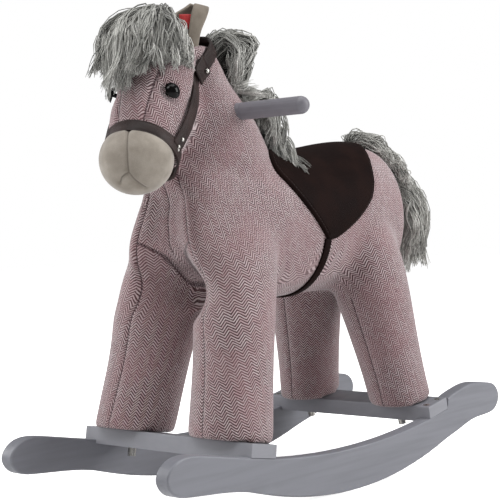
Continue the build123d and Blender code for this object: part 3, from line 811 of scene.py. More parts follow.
def set_weave(mesh):
    face = np.repeat(np.arange(len(mesh.polygons)), read(mesh.polygons, "loop_total", 1, int))
    corner = read(mesh.loops, "vertex_index", 1, int)
    centre, normal = read(mesh.polygons, "center")[face], read(mesh.polygons, "normal")[face]
    set_values(mesh, "weave", weave_place(centre, normal, points_of(mesh)[corner]), "CORNER")


SHOULDER_TABLE = (  # height in mm, and how far the front of the shoulder stands proud
    (85, 120, 184, 232, 261, 288, 305, 317, 340, 365, 390),
    (1, 4, 8, 12, 13, 8, 1, -3, -8, -6, 0),
)
SHOULDER_FACING = (0.756, -0.653)
SHOULDER_FORWARD = 6
CHEST_FRONT_MM = 192.0
CHEST_KEEP = 0.3
CHEST_TABLE = (  # height in mm, and the Y that the middle of the chest comes forward to
    (215, 250, 268, 290, 340, 384),
    (-118, -130, -148, -170, -172, -192),
)
RUMP_NARROW, RUMP_SHORT = 0.32, 12
NECK_SLIM = 12


def shape_skin(mesh):
    """The cover's own shape, in millimetres, where it differs from the stuffed CAD solids."""
    co = points_of(mesh) / MM
    normal = normals_of(mesh)
    x, y, z = co.T
    flat, sign = np.abs(x), np.where(x >= 0, 1.0, -1.0)
    body = before_strap(co * MM) < -6
    # Shoulders stand forward and outward of the chest
    ax, ay = leg_axis("front", z)
    dx, dy = flat - ax, y - ay
    out_x, out_y = SHOULDER_FACING
    facing = (dx * out_x + dy * out_y) / np.maximum(np.hypot(dx, dy), 1)
    amount = np.interp(z, *SHOULDER_TABLE) * np.clip(facing, 0, 1) ** 0.8
    amount *= smoothstep(5, 30, flat) * (y < -40) * body
    forward = SHOULDER_FORWARD * smoothstep(150, 230, z) * (1 - smoothstep(285, 315, z))
    co[:, 1] -= forward * np.clip(-dy / LEG_RADIUS, 0, 1) * smoothstep(18, 34, flat) * body
    co[:, 0] += sign * out_x * amount
    co[:, 1] += out_y * amount
    # The chest between them is set back, most of all low down
    start = np.interp(z, *CHEST_TABLE) + CHEST_KEEP * CHEST_FRONT_MM
    start /= 1 - CHEST_KEEP
    pressed = np.where(y < start, start + CHEST_KEEP * (y - start), y)
    share = (1 - smoothstep(16, 50, flat)) * smoothstep(205, 235, z)
    share *= 1 - smoothstep(366, 384, z)
    co[:, 1] += (pressed - y) * share * (y < 0) * body
    upper = 6 * smoothstep(-150, -175, y) * smoothstep(318, 345, z)
    co[:, 1] += upper * (1 - smoothstep(365, 395, z)) * body
    # The rump narrows
    rump = smoothstep(185, 245, y) * (z > 200)
    co[:, 0] -= x * RUMP_NARROW * rump
    co[:, 1] -= RUMP_SHORT * rump * smoothstep(10, 40, flat)
    # The neck is slim where the bridle pulls it in
    side, _, _ = head_coords(co * MM)
    slim = smoothstep(425, 492, z) * (before_strap(co * MM) < 10)
    slim *= smoothstep(12, 28, np.abs(side)) * (1 - smoothstep(518, 530, z))
    co[:, :2] -= (normal * NECK_SLIM * slim[:, None])[:, :2]
    set_points(mesh, co * MM)
    smooth_points(mesh, np.where(z < 100, 0.0, 0.5), 3)
    shoulder = smoothstep(205, 235, z) * (1 - smoothstep(320, 345, z))
    shoulder *= smoothstep(-85, -120, y) * smoothstep(10, 26, flat)
    smooth_points(mesh, shoulder, 40)


EYE_PRESS = 0.0052
EYE_PRESS_REACH = 0.0125


def press_round_eyes(mesh):
    """A safety eye pulls the cover in around it."""
    co, normal = points_of(mesh), normals_of(mesh)
    for side in SIDES:
        low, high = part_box(f"eye_{side}")
        distance = np.linalg.norm(co - np.array((low + high) / 2), axis=1)
        co -= normal * (EYE_PRESS * np.exp(-((distance / EYE_PRESS_REACH) ** 4)))[:, None]
    set_points(mesh, co)


SKIN_VOXEL = 0.005
HANDLE_PLUG = (0.0115, 0.084)  # radius and length of the fill round the handle
JOIN_NEAR, JOIN_REACH = 0.006, 0.018
BOX_MARGIN = 0.02
SEAM_DEPTH, SEAM_WIDTH = 0.0017, 0.0028
PUCKER_DEPTH, PUCKER_WIDTH, PUCKER_PITCH = 0.00035, 0.008, 0.0085


def join_weights(co):
    """How much each point is smoothed: most at the joins between legs, body, neck and head."""
    weight = np.full(len(co), 0.35)
    trees = [tree_of(NODES[n].data) for n in SOFT_NODES]
    boxes = [[np.array(corner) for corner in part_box(n)] for n in SOFT_NODES]
    for i, c in enumerate(co):
        near = sorted(
            tree.find_nearest(Vector(c))[3] for tree, (low, high) in zip(trees, boxes)
            if (c > low - BOX_MARGIN).all() and (c < high + BOX_MARGIN).all()
        )
        if len(near) > 1:
            weight[i] = max(weight[i], 1.0 - max(0.0, near[1] - JOIN_NEAR) / JOIN_REACH)
    weight[co[:, 2] < 0.098] = 0.15
    return weight


def make_skin():
    low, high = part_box("handle")
    plug = ((np.array(low) + np.array(high)) / 2, *HANDLE_PLUG)
    mesh = joined_mesh(SOFT_NODES + FRAME_NODES, plug)
    mesh = keep_biggest(with_modifier(mesh, "REMESH", mode="VOXEL", voxel_size=SKIN_VOXEL))
    smooth_points(mesh, join_weights(points_of(mesh)), 14)
    shape_skin(mesh)
    seam, _ = seam_table(points_of(mesh))
    pinned = np.clip(1.2 - seam / 0.009, 0, 1)
    pinned[points_of(mesh)[:, 2] < 0.095] = 1
    mesh = simulate_pressure(mesh, pinned)
    press_round_eyes(mesh)
    mesh = subdivided(mesh)
    cut_seams(mesh)
    co = points_of(mesh)
    seam, run = seam_table(co)
    depth = SEAM_DEPTH * np.exp(-((seam / SEAM_WIDTH) ** 2)) * smoothstep(0.082, 0.1, co[:, 2])
    pucker = PUCKER_DEPTH * np.sin(run / PUCKER_PITCH * TURN)
    pucker *= np.exp(-((seam / PUCKER_WIDTH) ** 2))
    co = co + normals_of(mesh) * (pucker - depth)[:, None]
    set_points(mesh, rest_on_bars(co))
    set_values(mesh, "seam", np.stack([seam, run, np.zeros_like(run)], 1))
    set_weave(mesh)
    add_piece("tweed_skin", mesh, "tweed", replaced=SOFT_NODES)
    return tree_of(mesh)


# ---------------------------------------------------------------- the muzzle
MUZZLE_MIDDLE = head_point(0, 80, 388)
MUZZLE_RADIUS = 0.039
MUZZLE_SEAMS = [  # degrees: direction round from straight ahead to the left, and elevation
    [(27.7, 75), (27.7, 47.6), (30.7, 10.2), (31.0, -23.0)],
    [(31.0, -23.0), (23.1, -26.1), (14.5, -31.1), (6, -40)],
    [(31.0, -23.0), (39.2, -35.4), (52, -46), (67.7, -54.0)],
]


def direction(azimuth, elevation):
    a, e = math.radians(azimuth), math.radians(elevation)
    return np.array((math.sin(a) * math.cos(e), -math.cos(a) * math.cos(e), math.sin(e)))


def distance_to_lines(points, lines):
    best = np.full(len(points), 1.0)
    for line in lines:
        for a, b in zip(line[:-1], line[1:]):
            ab = b - a
            t = np.clip((points - a) @ ab / max(ab @ ab, 1e-12), 0, 1)
            best = np.minimum(best, np.linalg.norm(points - a - t[:, None] * ab, axis=1))
    return best


def make_muzzle():
    mesh = with_modifier(joined_mesh(["muzzle"]), "REMESH", mode="VOXEL", voxel_size=0.0022)
    smooth_points(mesh, np.full(len(mesh.vertices), 0.6), 6)
    mesh = subdivided(mesh)
    co = points_of(mesh)
    lines = []
    for seam in MUZZLE_SEAMS:
        corners = np.array([direction(*p) for p in seam])
        t = np.linspace(0, len(corners) - 1, 6 * (len(corners) - 1) + 1)
        fine = [np.interp(t, np.arange(len(corners)), column) for column in corners.T]
        lines.append(unit(np.stack(fine, 1)))
    gap = distance_to_lines(unit(co - MUZZLE_MIDDLE), lines) * MUZZLE_RADIUS
    depth = 0.0022 * np.exp(-((gap / 0.0024) ** 2))
    set_points(mesh, co - normals_of(mesh) * depth[:, None])
    set_values(mesh, "seam", np.stack([gap, gap * 0, gap * 0], 1))
    add_piece("muzzle_cover", mesh, "muzzle_suede", replaced=["muzzle"])


# ---------------------------------------------------------------- straps
def hit(tree, middle, outward, reach=0.25):
    """Where a ray from outside towards middle meets the surface, and the normal there."""
    start = Vector(middle) + Vector(outward) * reach
    place, normal, _, _ = tree.ray_cast(start, -Vector(outward))
    return (None, None) if place is None else (np.array(place), np.array(normal))


def around(tree, middle, e1, e2, angles):
    """Points of the surface met by rays towards middle from directions in a plane."""
    e1, e2 = np.array(e1), np.array(e2)
    found = (hit(tree, middle, math.cos(a) * e1 + math.sin(a) * e2) for a in angles)
    places, normals = zip(*(pair for pair in found if pair[0] is not None))
    return np.array(places), np.array(normals)


def relax(values, rounds, closed):
    values = values.copy()
    for _ in range(rounds):
        if closed:
            values = (np.roll(values, 1, 0) + 2 * values + np.roll(values, -1, 0)) / 4
        else:
            values[1:-1] = (values[:-2] + 2 * values[1:-1] + values[2:]) / 4
    return values


STRAP_HALF = [  # across as a share of half the width, height as a share of the thickness
    (1.0, 0.0), (1.0, 0.55), (0.97, 0.85), (0.9, 1.0), (0.8, 0.98), (0.74, 0.86),
    (0.66, 0.98), (0.3, 1.04),
]
STRAP_PROFILE = [*((-s, t) for s, t in STRAP_HALF), (0.0, 1.06), *reversed(STRAP_HALF)]
STRAP_LIFT = 0.0003


def make_strap(
    name, places, normals, across, half, thick, replaced,
    lift=STRAP_LIFT, closed=False, look="bridle_leather",
):
    """A band of leather with a pressed line along each edge, lying on the surface."""
    places = relax(places, 6, closed)
    facing = unit(relax(normals, 10, closed))
    if closed:
        tangent = unit(np.roll(places, -1, 0) - np.roll(places, 1, 0))
    else:
        tangent = unit(np.gradient(places, axis=0))
    side = np.tile(np.array(across, float), (len(places), 1))
    side = unit(side - tangent * np.sum(side * tangent, 1)[:, None])
    normals = np.cross(side, tangent)
    normals *= np.where(np.sum(normals * facing, 1) < 0, -1, 1)[:, None]
    halves = np.broadcast_to(half, (len(places),))
    verts = [
        p + b * (s * h) + n * (lift + t * thick)
        for p, n, b, h in zip(places, normals, side, halves) for s, t in STRAP_PROFILE
    ]
    mesh = new_mesh(verts, tube_faces(0, len(places), len(STRAP_PROFILE), closed))
    add_piece(name, mesh, look, replaced=replaced)


NOSEBAND_AHEAD_MM, NOSEBAND_HEIGHT_MM = 65, 396
NOSEBAND_BACK = 0.0025
NOSEBAND_REACH = 0.0045  # the most that it stands off the head's CAD solid
NOSEBAND_SIZE = (0.0076, 0.0025)  # half the width, and the thickness
CHEEK_SIZE, CROWN_SIZE = (0.0086, 0.0028), (0.0100, 0.0026)
CHEEK_LIFT, CROWN_LIFT, KEEPER_LIFT = 0.0024, 0.0045, 0.0070
CHEEK_FORWARD = 0.001
CHEEK_STRAP_END = 0.397
KEEPER_HEIGHT = 0.487
KEEPER_SPAN = (-0.010, 0.011)
KEEPER_HALF, KEEPER_THICK = (0.0105, 0.0132), 0.0026


def make_noseband(tree):
    middle = head_point(0, NOSEBAND_AHEAD_MM, NOSEBAND_HEIGHT_MM)
    axis = unit(middle - head_point(0, -22, 510))
    back = np.cross(axis, HEAD_SIDE)
    middle = middle - axis * NOSEBAND_BACK
    sweep = np.linspace(0, TURN, 120, endpoint=False)
    outer, _ = around(tree, middle, HEAD_SIDE, back, sweep)
    places, normals = around(tree_of(NODES["head"].data), middle, HEAD_SIDE, back, sweep)
    reach = np.linalg.norm(places - middle, axis=1)
    wanted = np.clip(np.linalg.norm(outer - middle, axis=1), reach, reach + NOSEBAND_REACH)
    places = middle + (places - middle) * (wanted / reach)[:, None]
    flat = normals - axis * (normals @ axis)[:, None]
    make_strap(
        "noseband_strap", places, flat, axis, *NOSEBAND_SIZE, ["noseband"], closed=True
    )


def make_bridle(tree):
    make_noseband(tree)
    n = HEAD_AHEAD * STRAP_NORMAL[0] + UP * STRAP_NORMAL[1]
    up = np.cross(n, HEAD_SIDE)
    up *= np.sign(up[2])
    middle = head_point(0, 20, 455)
    middle = middle - n * float((middle - head_point(0, *STRAP_SPOT)) @ n)
    angles = np.linspace(math.radians(-62), math.radians(242), 260)
    places, normals = around(tree, middle, HEAD_SIDE, up, angles)
    flat = normals - n * (normals @ n)[:, None]
    height = places[:, 2]
    left = places[:, :2] @ HEAD_SIDE[:2] > middle[:2] @ HEAD_SIDE[:2]
    halves = {"left": left, "right": ~left}
    for name, mine in halves.items():
        chosen = mine & (height > CHEEK_STRAP_END) & (height < KEEPER_HEIGHT + 0.002)
        make_strap(
            f"cheek_band_{name}", places[chosen] + n * CHEEK_FORWARD, flat[chosen], n,
            *CHEEK_SIZE, [f"cheek_strap_{name}"], CHEEK_LIFT,
        )
    chosen = height > KEEPER_HEIGHT + 0.004
    make_strap(
        "crown_band", places[chosen], flat[chosen], n, *CROWN_SIZE, ["crown_strap"], CROWN_LIFT
    )
    low, high = (KEEPER_HEIGHT + end for end in KEEPER_SPAN)
    for name, mine in halves.items():
        mine = mine & (height > low) & (height < high)
        order = np.argsort(height[mine])
        spots = places[mine][order] + n * CHEEK_FORWARD
        make_strap(
            f"keeper_tab_{name}", spots, flat[mine][order], n,
            np.linspace(*KEEPER_HALF, len(spots)), KEEPER_THICK, [], KEEPER_LIFT,
        )
    make_rivets(tree)


RIVET_SPOTS = [  # ahead, height in mm, radius and how far the dome stands off the skin
    (-17, 487, 3.0, 10.2),
    (63, 408, 2.4, 6.4),
    (68, 401, 2.2, 6.4),
    (79, 396, 1.7, 4.4),
]
RIVET_REACH = 0.049  # the most that the skin is off the middle of the head there
RIVET_INSET = 0.006
RIVET_RINGS = ((1.0, 0.0), (1.0, 0.25), (0.86, 0.55), (0.6, 0.78), (0.3, 0.9))
RIVET_CROWN = 0.8
RIVET_SINK_MM = 1.0
RIVET_SIDES = 20


def make_rivets(tree):
    verts, faces = [], []
    for side in SIDES.values():
        for ahead, height, radius, stand in RIVET_SPOTS:
            inner = head_point(0, ahead - RIVET_INSET / MM, height)
            outward = HEAD_SIDE * side
            place, normal = hit(tree, inner, outward, 0.12)
            if place is None or np.linalg.norm(place - inner) > RIVET_REACH:
                place, normal = inner + outward * (RIVET_REACH - RIVET_INSET), 0
            normal = unit(normal + outward)
            a = unit(np.cross(normal, UP))
            b = np.cross(normal, a)
            faces += tube_faces(len(verts), len(RIVET_RINGS), RIVET_SIDES)
            for share, rise in RIVET_RINGS:
                off = normal * (stand - RIVET_SINK_MM + rise * radius * RIVET_CROWN) * MM
                for k in range(RIVET_SIDES):
                    t = TURN * k / RIVET_SIDES
                    spoke = (a * math.cos(t) + b * math.sin(t)) * share * radius * MM
                    verts.append(place + spoke + off)
    add_piece("rivet_domes", new_mesh(verts, faces), "nickel", replaced=["bridle_rivets"])


# ---------------------------------------------------------------- saddle and girth
SADDLE_EDGE = [  # degrees round the back from the top, front edge Y and rear edge Y in mm
    (0, 14, 182), (12, -12, 174), (29, -46, 154), (45, -44, 138), (60, -34, 127),
    (72, -22, 114), (84, -7, 92), (94, 6, 69), (101, 15, 48), (105, 21, 34),
]
SADDLE_STEPS = 141
SADDLE_ROWS = 61
SADDLE_RISE_MM = 4.6
STITCH_INSET_MM = 5.2  # a groove runs this far inside the edge, with the stitches in it
BINDING_MM = 2.2
GIRTH_SIZE = (0.0056, 0.0024)
GIRTH_SWEEP = (104, 256)


def saddle_height(edge):
    """How far the pad stands off the skin, in millimetres, at a distance from its edge."""
    rise = SADDLE_RISE_MM * (1 - math.exp(-edge / 2.2)) + 0.5
    rise += 0.5 * math.exp(-(((edge - BINDING_MM) / 1.1) ** 2))
    return rise - 0.9 * math.exp(-(((edge - STITCH_INSET_MM) / 0.9) ** 2))


def make_saddle(tree):
    torso_low, torso_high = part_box("torso")
    axis_z = (torso_low.z + torso_high.z) / 2
    at, front, rear = np.array(SADDLE_EDGE, float).T
    limit = at[-1]
    angles = np.linspace(-limit, limit, SADDLE_STEPS)
    front = relax(np.interp(np.abs(angles), at, front), 12, False)
    rear = relax(np.interp(np.abs(angles), at, rear), 12, False)
    outer, inner = [], []
    for angle, y0, y1 in zip(angles, front, rear):
        out = (math.sin(math.radians(angle)), 0, math.cos(math.radians(angle)))
        for row in range(SADDLE_ROWS):
            share = 0.5 - 0.5 * math.cos(math.pi * row / (SADDLE_ROWS - 1))
            y = (y0 + (y1 - y0) * share) * MM
            place, normal = hit(tree, (0, y, axis_z), out)
            tip = (limit - abs(angle)) * 1.4
            edge = min(share * (y1 - y0), (1 - share) * (y1 - y0), tip)
            outer.append(place + normal * saddle_height(edge) * MM)
            inner.append(place + normal * 0.25 * MM)
    mesh = pad_mesh(outer, inner, SADDLE_STEPS, SADDLE_ROWS)
    add_piece("saddle_pad", mesh, "saddle_leather", replaced=["saddle"])
    make_saddle_stitches(np.array(outer).reshape(SADDLE_STEPS, SADDLE_ROWS, 3), rear - front)
    girth_low, girth_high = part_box("girth")
    middle = (0, (girth_low.y + girth_high.y) / 2, axis_z)
    sweep = np.radians(np.linspace(*GIRTH_SWEEP, 120))
    places, normals = around(tree, middle, (0, 0, 1), (1, 0, 0), sweep)
    make_strap(
        "girth_band", places, normals * (1, 0, 1), (0, 1, 0), *GIRTH_SIZE, ["girth"],
        look="saddle_leather",
    )


STITCH_STEP = 0.0042
STITCH_LENGTH = 0.0028
STITCH_RADIUS = 0.00035
STITCH_SIDES = 6


def add_stitch(verts, faces, a, b):
    """A thread from a to b with narrowed ends."""
    axis = unit(b - a)
    ref = unit(np.cross(axis, (0.3, 0.5, 0.8)))
    other = np.cross(axis, ref)
    faces += tube_faces(len(verts), 4, STITCH_SIDES)
    inset = axis * STITCH_RADIUS
    for centre, scale in ((a, 0.4), (a + inset, 1.0), (b - inset, 1.0), (b, 0.4)):
        for k in range(STITCH_SIDES):
            t = TURN * k / STITCH_SIDES
            spoke = ref * math.cos(t) + other * math.sin(t)
            verts.append(centre + spoke * STITCH_RADIUS * scale)


def make_saddle_stitches(grid, widths):
    verts, faces = [], []
    for near in (True, False):
        line = []
        for i in range(4, SADDLE_STEPS - 4):
            if widths[i] < 16:
                continue
            share = STITCH_INSET_MM / widths[i]
            share = share if near else 1 - share
            row = math.acos(1 - 2 * share) / math.pi * (SADDLE_ROWS - 1)
            low = int(row)
            line.append(grid[i, low] * (1 - row + low) + grid[i, low + 1] * (row - low))
        line = np.array(line)
        steps = np.linalg.norm(np.diff(line, axis=0), axis=1)
        along = np.concatenate([[0], np.cumsum(steps)])
        start = 0.0
        while start + STITCH_LENGTH < along[-1]:
            ends = (start, start + STITCH_LENGTH)
            a, b = np.stack([np.interp(ends, along, column) for column in line.T], 1)
            add_stitch(verts, faces, a, b)
            start += STITCH_STEP
    mesh = new_mesh(verts, faces)
    add_piece("saddle_stitches", mesh, "bridle_leather")


# ---------------------------------------------------------------- ears
EAR_LEVELS = [  # mm above the base, far rim, right turn, near flap edge, flap height
    (-4, -12, 4, -8, 6),
    (10, -20, 6, -8, 9),
    (20, -23, 8.5, -5.5, 10),
    (30, -24, 13, -3.5, 10),
    (38, -22.5, 16.5, -1.5, 9),
    (42, -12, 18, 0, 8),
    (46, -5, 19.5, 2, 7),
    (50, 1, 20, 3.5, 5),
]
EAR_THICKNESS = 0.0032
EAR_TURN = math.radians(40)
EAR_ROWS, EAR_COLUMNS = 29, 33
EAR_TOP_DROP = 0.22


def ear_frame(side):
    """The ear's base, its own X axis and the way that it faces."""
    out, ahead = side * math.sin(EAR_TURN), math.cos(EAR_TURN)
    x_axis = HEAD_SIDE * ahead - HEAD_AHEAD * out
    return head_point(side * 27, -20, 514), x_axis, HEAD_SIDE * out + HEAD_AHEAD * ahead


def make_ear(name, side):
    base, x_axis, facing = ear_frame(side)
    levels, *columns = np.array(EAR_LEVELS, float).T
    grid = np.zeros((EAR_ROWS, EAR_COLUMNS, 3))
    for i, h in enumerate(np.linspace(levels[0], levels[-1], EAR_ROWS)):
        rim, turn, flap, bulge = (np.interp(h, levels, column) for column in columns)
        keys = np.array([
            (rim, 3.0), (rim * 0.6 + turn * 0.1, 0.5), (turn * 0.45, -1.5), (turn * 0.9, 0.0),
            (turn, bulge * 0.45), (turn, bulge * 0.85), (turn * 0.5 + flap * 0.5, bulge),
            (flap, bulge * 0.95),
        ])
        t = np.linspace(0, len(keys) - 1, EAR_COLUMNS)
        x, z = (np.interp(t, np.arange(len(keys)), column) for column in keys.T)
        drop = EAR_TOP_DROP * np.maximum(0, x - 4) * max(0, h) / levels[-1]
        grid[i] = np.stack([x, h - drop, z], 1)
    for _ in range(3):
        grid[:, 1:-1] = (grid[:, :-2] + 2 * grid[:, 1:-1] + grid[:, 2:]) / 4
        grid[1:-1] = (grid[:-2] + 2 * grid[1:-1] + grid[2:]) / 4
    verts = base + grid.reshape(-1, 3) @ np.stack([x_axis * side, UP, facing]) * MM
    number = np.arange(len(verts)).reshape(EAR_ROWS, EAR_COLUMNS)
    a, b = number[:-1, :-1].ravel(), number[1:, :-1].ravel()
    mesh = new_mesh(verts, np.stack([a, a + 1, b + 1, b], 1).tolist(), closed=False)
    mesh = with_modifier(mesh, "SOLIDIFY", thickness=EAR_THICKNESS, offset=0.0)
    add_piece(f"ear_leaf_{name}", subdivided(mesh), "ear_suede", replaced=[f"ear_{name}"])


TAG_MIDDLE_MM = (-7.0, 29.0, 7.0)
TAG_HALF_MM = 8.5
TAG_STEPS = 13
TAG_EDGE, TAG_CROWN, TAG_BACK = 0.0003, 0.0014, 0.0010


def make_tag():
    """The soft red patch in the left ear that covers the sound button."""
    base, x_axis, facing = ear_frame(1)
    front, back = [], []
    for i in range(TAG_STEPS):
        for j in range(TAG_STEPS):
            u, v = 2 * i / (TAG_STEPS - 1) - 1, 2 * j / (TAG_STEPS - 1) - 1
            crown = (1 - abs(u) ** 3) * (1 - abs(v) ** 3)
            x = TAG_MIDDLE_MM[0] + TAG_HALF_MM * u * (1 - 0.05 * v * v)
            y = TAG_MIDDLE_MM[1] + TAG_HALF_MM * v * (1 - 0.05 * u * u)
            flat = base + (x * x_axis + y * UP + TAG_MIDDLE_MM[2] * facing) * MM
            front.append(flat + facing * (TAG_EDGE + TAG_CROWN * crown))
            back.append(flat - facing * (TAG_EDGE + TAG_BACK * crown))
    mesh = pad_mesh(front, back, TAG_STEPS, TAG_STEPS)
    add_piece(
        "button_patch", mesh, "red_tag", "sound_button", replaced=["sound_button"]
    )


# ---------------------------------------------------------------- yarn
YARN_RADIUS = 0.0009
YARN_SIDES = 3
YARN_TAPER = ((0, 0.15, 0.75, 1), (0.8, 1.0, 0.85, 0.35))
YARN_ROOT_SHADE = ((0, 0.45, 1), (0.15, 0.8, 1.2))  # painted shade: darker at the root, where the strands crowd, and lighter out at the tips


def curve_through(keys, count):
    """Catmull-Rom curves through keys, shaped (strands, keys, 3), sampled at count places."""
    n = keys.shape[1]
    first = 2 * keys[:, :1] - keys[:, 1:2]
    last = 2 * keys[:, -1:] - keys[:, -2:-1]
    padded = np.concatenate([first, keys, last], 1)
    out = []
    for t in np.linspace(0, n - 1, count):
        i = min(int(t), n - 2)
        f = t - i
        p0, p1, p2, p3 = (padded[:, i + k] for k in range(4))
        out.append(0.5 * (
            2 * p1 + (p2 - p0) * f + (2 * p0 - 5 * p1 + 4 * p2 - p3) * f**2
            + (3 * p1 - 3 * p2 + p3 - p0) * f**3
        ))
    return np.stack(out, 1)


def strand_mesh(paths, radii, tones):
    """Thin tubes along paths (strands, points, 3), closed at both ends."""
    strands, count, _ = paths.shape
    tangent = unit(np.gradient(paths, axis=1))
    a = unit(np.cross(tangent, (0.31, 0.52, 0.79)))
    b = np.cross(tangent, a)
    share = np.linspace(0, 1, count)
    width = radii[:, None, None] * np.interp(share, *YARN_TAPER)[None, :, None]
    rings = []
    for k in range(YARN_SIDES):
        angle = TURN * k / YARN_SIDES
        rings.append(paths + (a * math.cos(angle) + b * math.sin(angle)) * width)
    verts = np.stack(rings, 2).reshape(-1, 3)
    start = np.arange(strands)[:, None] * (count * YARN_SIDES)
    *quads, low_cap, high_cap = tube_faces(0, count, YARN_SIDES)
    quads = np.concatenate([start + np.array(q) for q in quads], 0)
    caps = np.concatenate([start + np.array(c) for c in (low_cap, high_cap)], 0)
    loops = np.concatenate([quads.ravel(), caps.ravel()])
    sizes = np.repeat([4, YARN_SIDES], [len(quads), len(caps)])
    mesh = bpy.data.meshes.new("strands")
    mesh.vertices.add(len(verts))
    mesh.vertices.foreach_set("co", verts.ravel())
    mesh.loops.add(len(loops))
    mesh.loops.foreach_set("vertex_index", loops.astype(np.int32))
    mesh.polygons.add(len(sizes))
    begin = np.cumsum(sizes) - sizes
    mesh.polygons.foreach_set("loop_start", begin.astype(np.int32))
    mesh.update(calc_edges=True)
    mesh.validate()
    # Painted shade along each strand, darkest at the root
    along = np.repeat(np.interp(share, *YARN_ROOT_SHADE), YARN_SIDES)
    set_values(mesh, "tone", np.clip(tones[:, None] * along[None, :], 0, 1))
    return mesh


def push_out(tree, points, gap):
    """Moves points that are in or too near the skin outside it."""
    flat = points.reshape(-1, 3)
    for i, p in enumerate(flat):
        place, normal, _, _ = tree.find_nearest(Vector(p), 0.08)
        if place is None:
            continue
        place, normal = np.array(place), np.array(normal)
        if (p - place) @ normal < gap:
            flat[i] = place + normal * gap
    return flat.reshape(points.shape)


LOCK_RADIUS, STRAND_SCATTER = 0.0024, 0.0013


def fluff(rng, tree, guides, locks, per_lock, spread, tip_spread, count, wave, gap, tone=0.62):
    """Strand paths: locks placed between neighbouring guides, each lock a bundle of strands."""
    guides = np.asarray(guides, float)
    pick = rng.uniform(0, len(guides) - 1, locks)
    low = np.minimum(pick.astype(int), len(guides) - 2)
    f = (pick - low)[:, None, None]
    keys = guides[low] * (1 - f) + guides[low + 1] * f
    n = keys.shape[1]
    scatter = rng.normal(0, 1, (locks, 1, 3)) * spread
    grow = np.linspace(0.35, 1.0, n)[None, :, None]
    keys = keys + scatter * grow + rng.normal(0, 1, keys.shape) * spread * 0.6 * grow
    shorten = rng.uniform(0.62, 1.05, (locks, 1, 1))
    base = keys[:, :1]
    keys = base + (keys - base) * (1 - (1 - shorten) * np.linspace(0, 1, n)[None, :, None])
    keys = push_out(tree, keys, gap)
    bundle = np.repeat(keys, per_lock, 0)
    total = len(bundle)
    offset = rng.normal(0, 1, (total, 1, 3)) * LOCK_RADIUS
    fan = np.interp(np.linspace(0, 1, n), (0, 0.5, 1), (1.0, 0.9, tip_spread))[None, :, None]
    bundle = bundle + offset * fan + rng.normal(0, 1, bundle.shape) * STRAND_SCATTER
    paths = curve_through(bundle, count)
    t = np.linspace(0, 1, count)[None, :, None]
    lock_phase = np.repeat(rng.uniform(0, TURN, (locks, 1, 3)), per_lock, 0)
    lock_cycles = np.repeat(rng.uniform(1.0, 2.2, (locks, 1, 3)), per_lock, 0)
    paths = paths + np.sin(t * lock_cycles * TURN + lock_phase) * wave * 1.5 * t**0.5
    phase = rng.uniform(0, TURN, (total, 1, 3))
    cycles = rng.uniform(1.2, 2.6, (total, 1, 3))
    paths = paths + np.sin(t * cycles * TURN + phase) * wave * t**0.5
    tones = rng.normal(tone, 0.18, total) + np.repeat(rng.normal(0, 0.16, locks), per_lock)
    radii = YARN_RADIUS * rng.uniform(0.7, 1.15, total)
    return paths, radii, tones


def make_yarn(name, seed, tree, batches, replaced, body="horse"):
    """One piece of yarn from batches of guides, locks and the rest of what fluff takes."""
    rng = np.random.default_rng(seed)
    parts = zip(*[fluff(rng, tree, *batch) for batch in batches])
    mesh = strand_mesh(*(np.concatenate(part, 0) for part in parts))
    add_piece(name, mesh, "yarn", body, replaced=[replaced])


FORELOCK_GUIDES_MM = [  # sideways, ahead, height in the head's frame: crest, shoulder, fall, tip
    [(7, -6, 512), (10, 4, 533), (23, 12, 524), (36, 19, 508), (38, 22, 497)],
    [(7, -7, 513), (9, 5, 540), (24, 20, 530), (38, 30, 510), (39, 33, 494)],
    [(6, -8, 514), (8, 5, 544), (22, 28, 534), (34, 44, 511), (34, 48, 492)],
    [(4, -6, 514), (4, 6, 550), (14, 42, 541), (22, 60, 512), (22, 64, 495)],
    [(2, -6, 514), (2, 6, 552), (8, 48, 542), (12, 72, 511), (12, 75, 492)],
    [(0, -6, 514), (0, 6, 552), (2, 50, 542), (4, 82, 507), (4, 92, 476)],
    [(-2, -6, 514), (-4, 6, 552), (-10, 50, 542), (-8, 86, 510), (-10, 97, 474)],
    [(-4, -6, 514), (-8, 4, 551), (-22, 44, 541), (-20, 82, 510), (-21, 93, 459)],
    [(-6, -8, 514), (-10, 2, 550), (-28, 38, 540), (-33, 70, 515), (-35, 82, 482)],
    [(-8, -10, 514), (-12, 0, 550), (-30, 32, 543), (-41, 56, 520), (-47, 66, 486)],
    [(-8, -12, 514), (-12, -4, 546), (-32, 14, 534), (-42, 34, 508), (-45, 48, 480)],
    [(-8, -14, 514), (-12, -8, 542), (-32, -2, 528), (-42, 8, 505), (-43, 16, 488)],
    [(-8, -18, 514), (-10, -12, 536), (-25, -16, 525), (-37, -16, 505), (-39, -12, 490)],
]
MANE_CREST_MM = [
    (0, -100, 518), (0, -88, 509), (0, -74, 494), (0, -58, 472), (0, -46, 450),
    (0, -34, 430), (0, -26, 414), (0, -18, 402), (0, -10, 392),
]
MANE_OUT = np.array((0, 0.80, 0.60))
MANE_DOWN = np.array((0.0, 0.42, -0.9))
MANE_STEPS = ((0, 0, 0), (0.9, 6, 0), (1.15, 19, 0.3), (0.8, 31, 0.65), (0.35, 37, 1))
MANE_LOCKS = {1.0: 95, 0.5: 60, 0.0: 45, -0.5: 35, -1.0: 45}  # by the side that they fall to
RUMP_LINE_MM = [
    (0, 176, 410), (0, 200, 406), (0, 224, 396), (0, 246, 382), (0, 264, 366), (0, 276, 350),
]
RUMP_STEPS = ((-2, 0, 0), (12, 5, 6), (19, 10, 20), (18, 15, 36), (12, 19, 50))
RUMP_LOCKS = {1.0: 60, 0.2: 50, -1.0: 60}
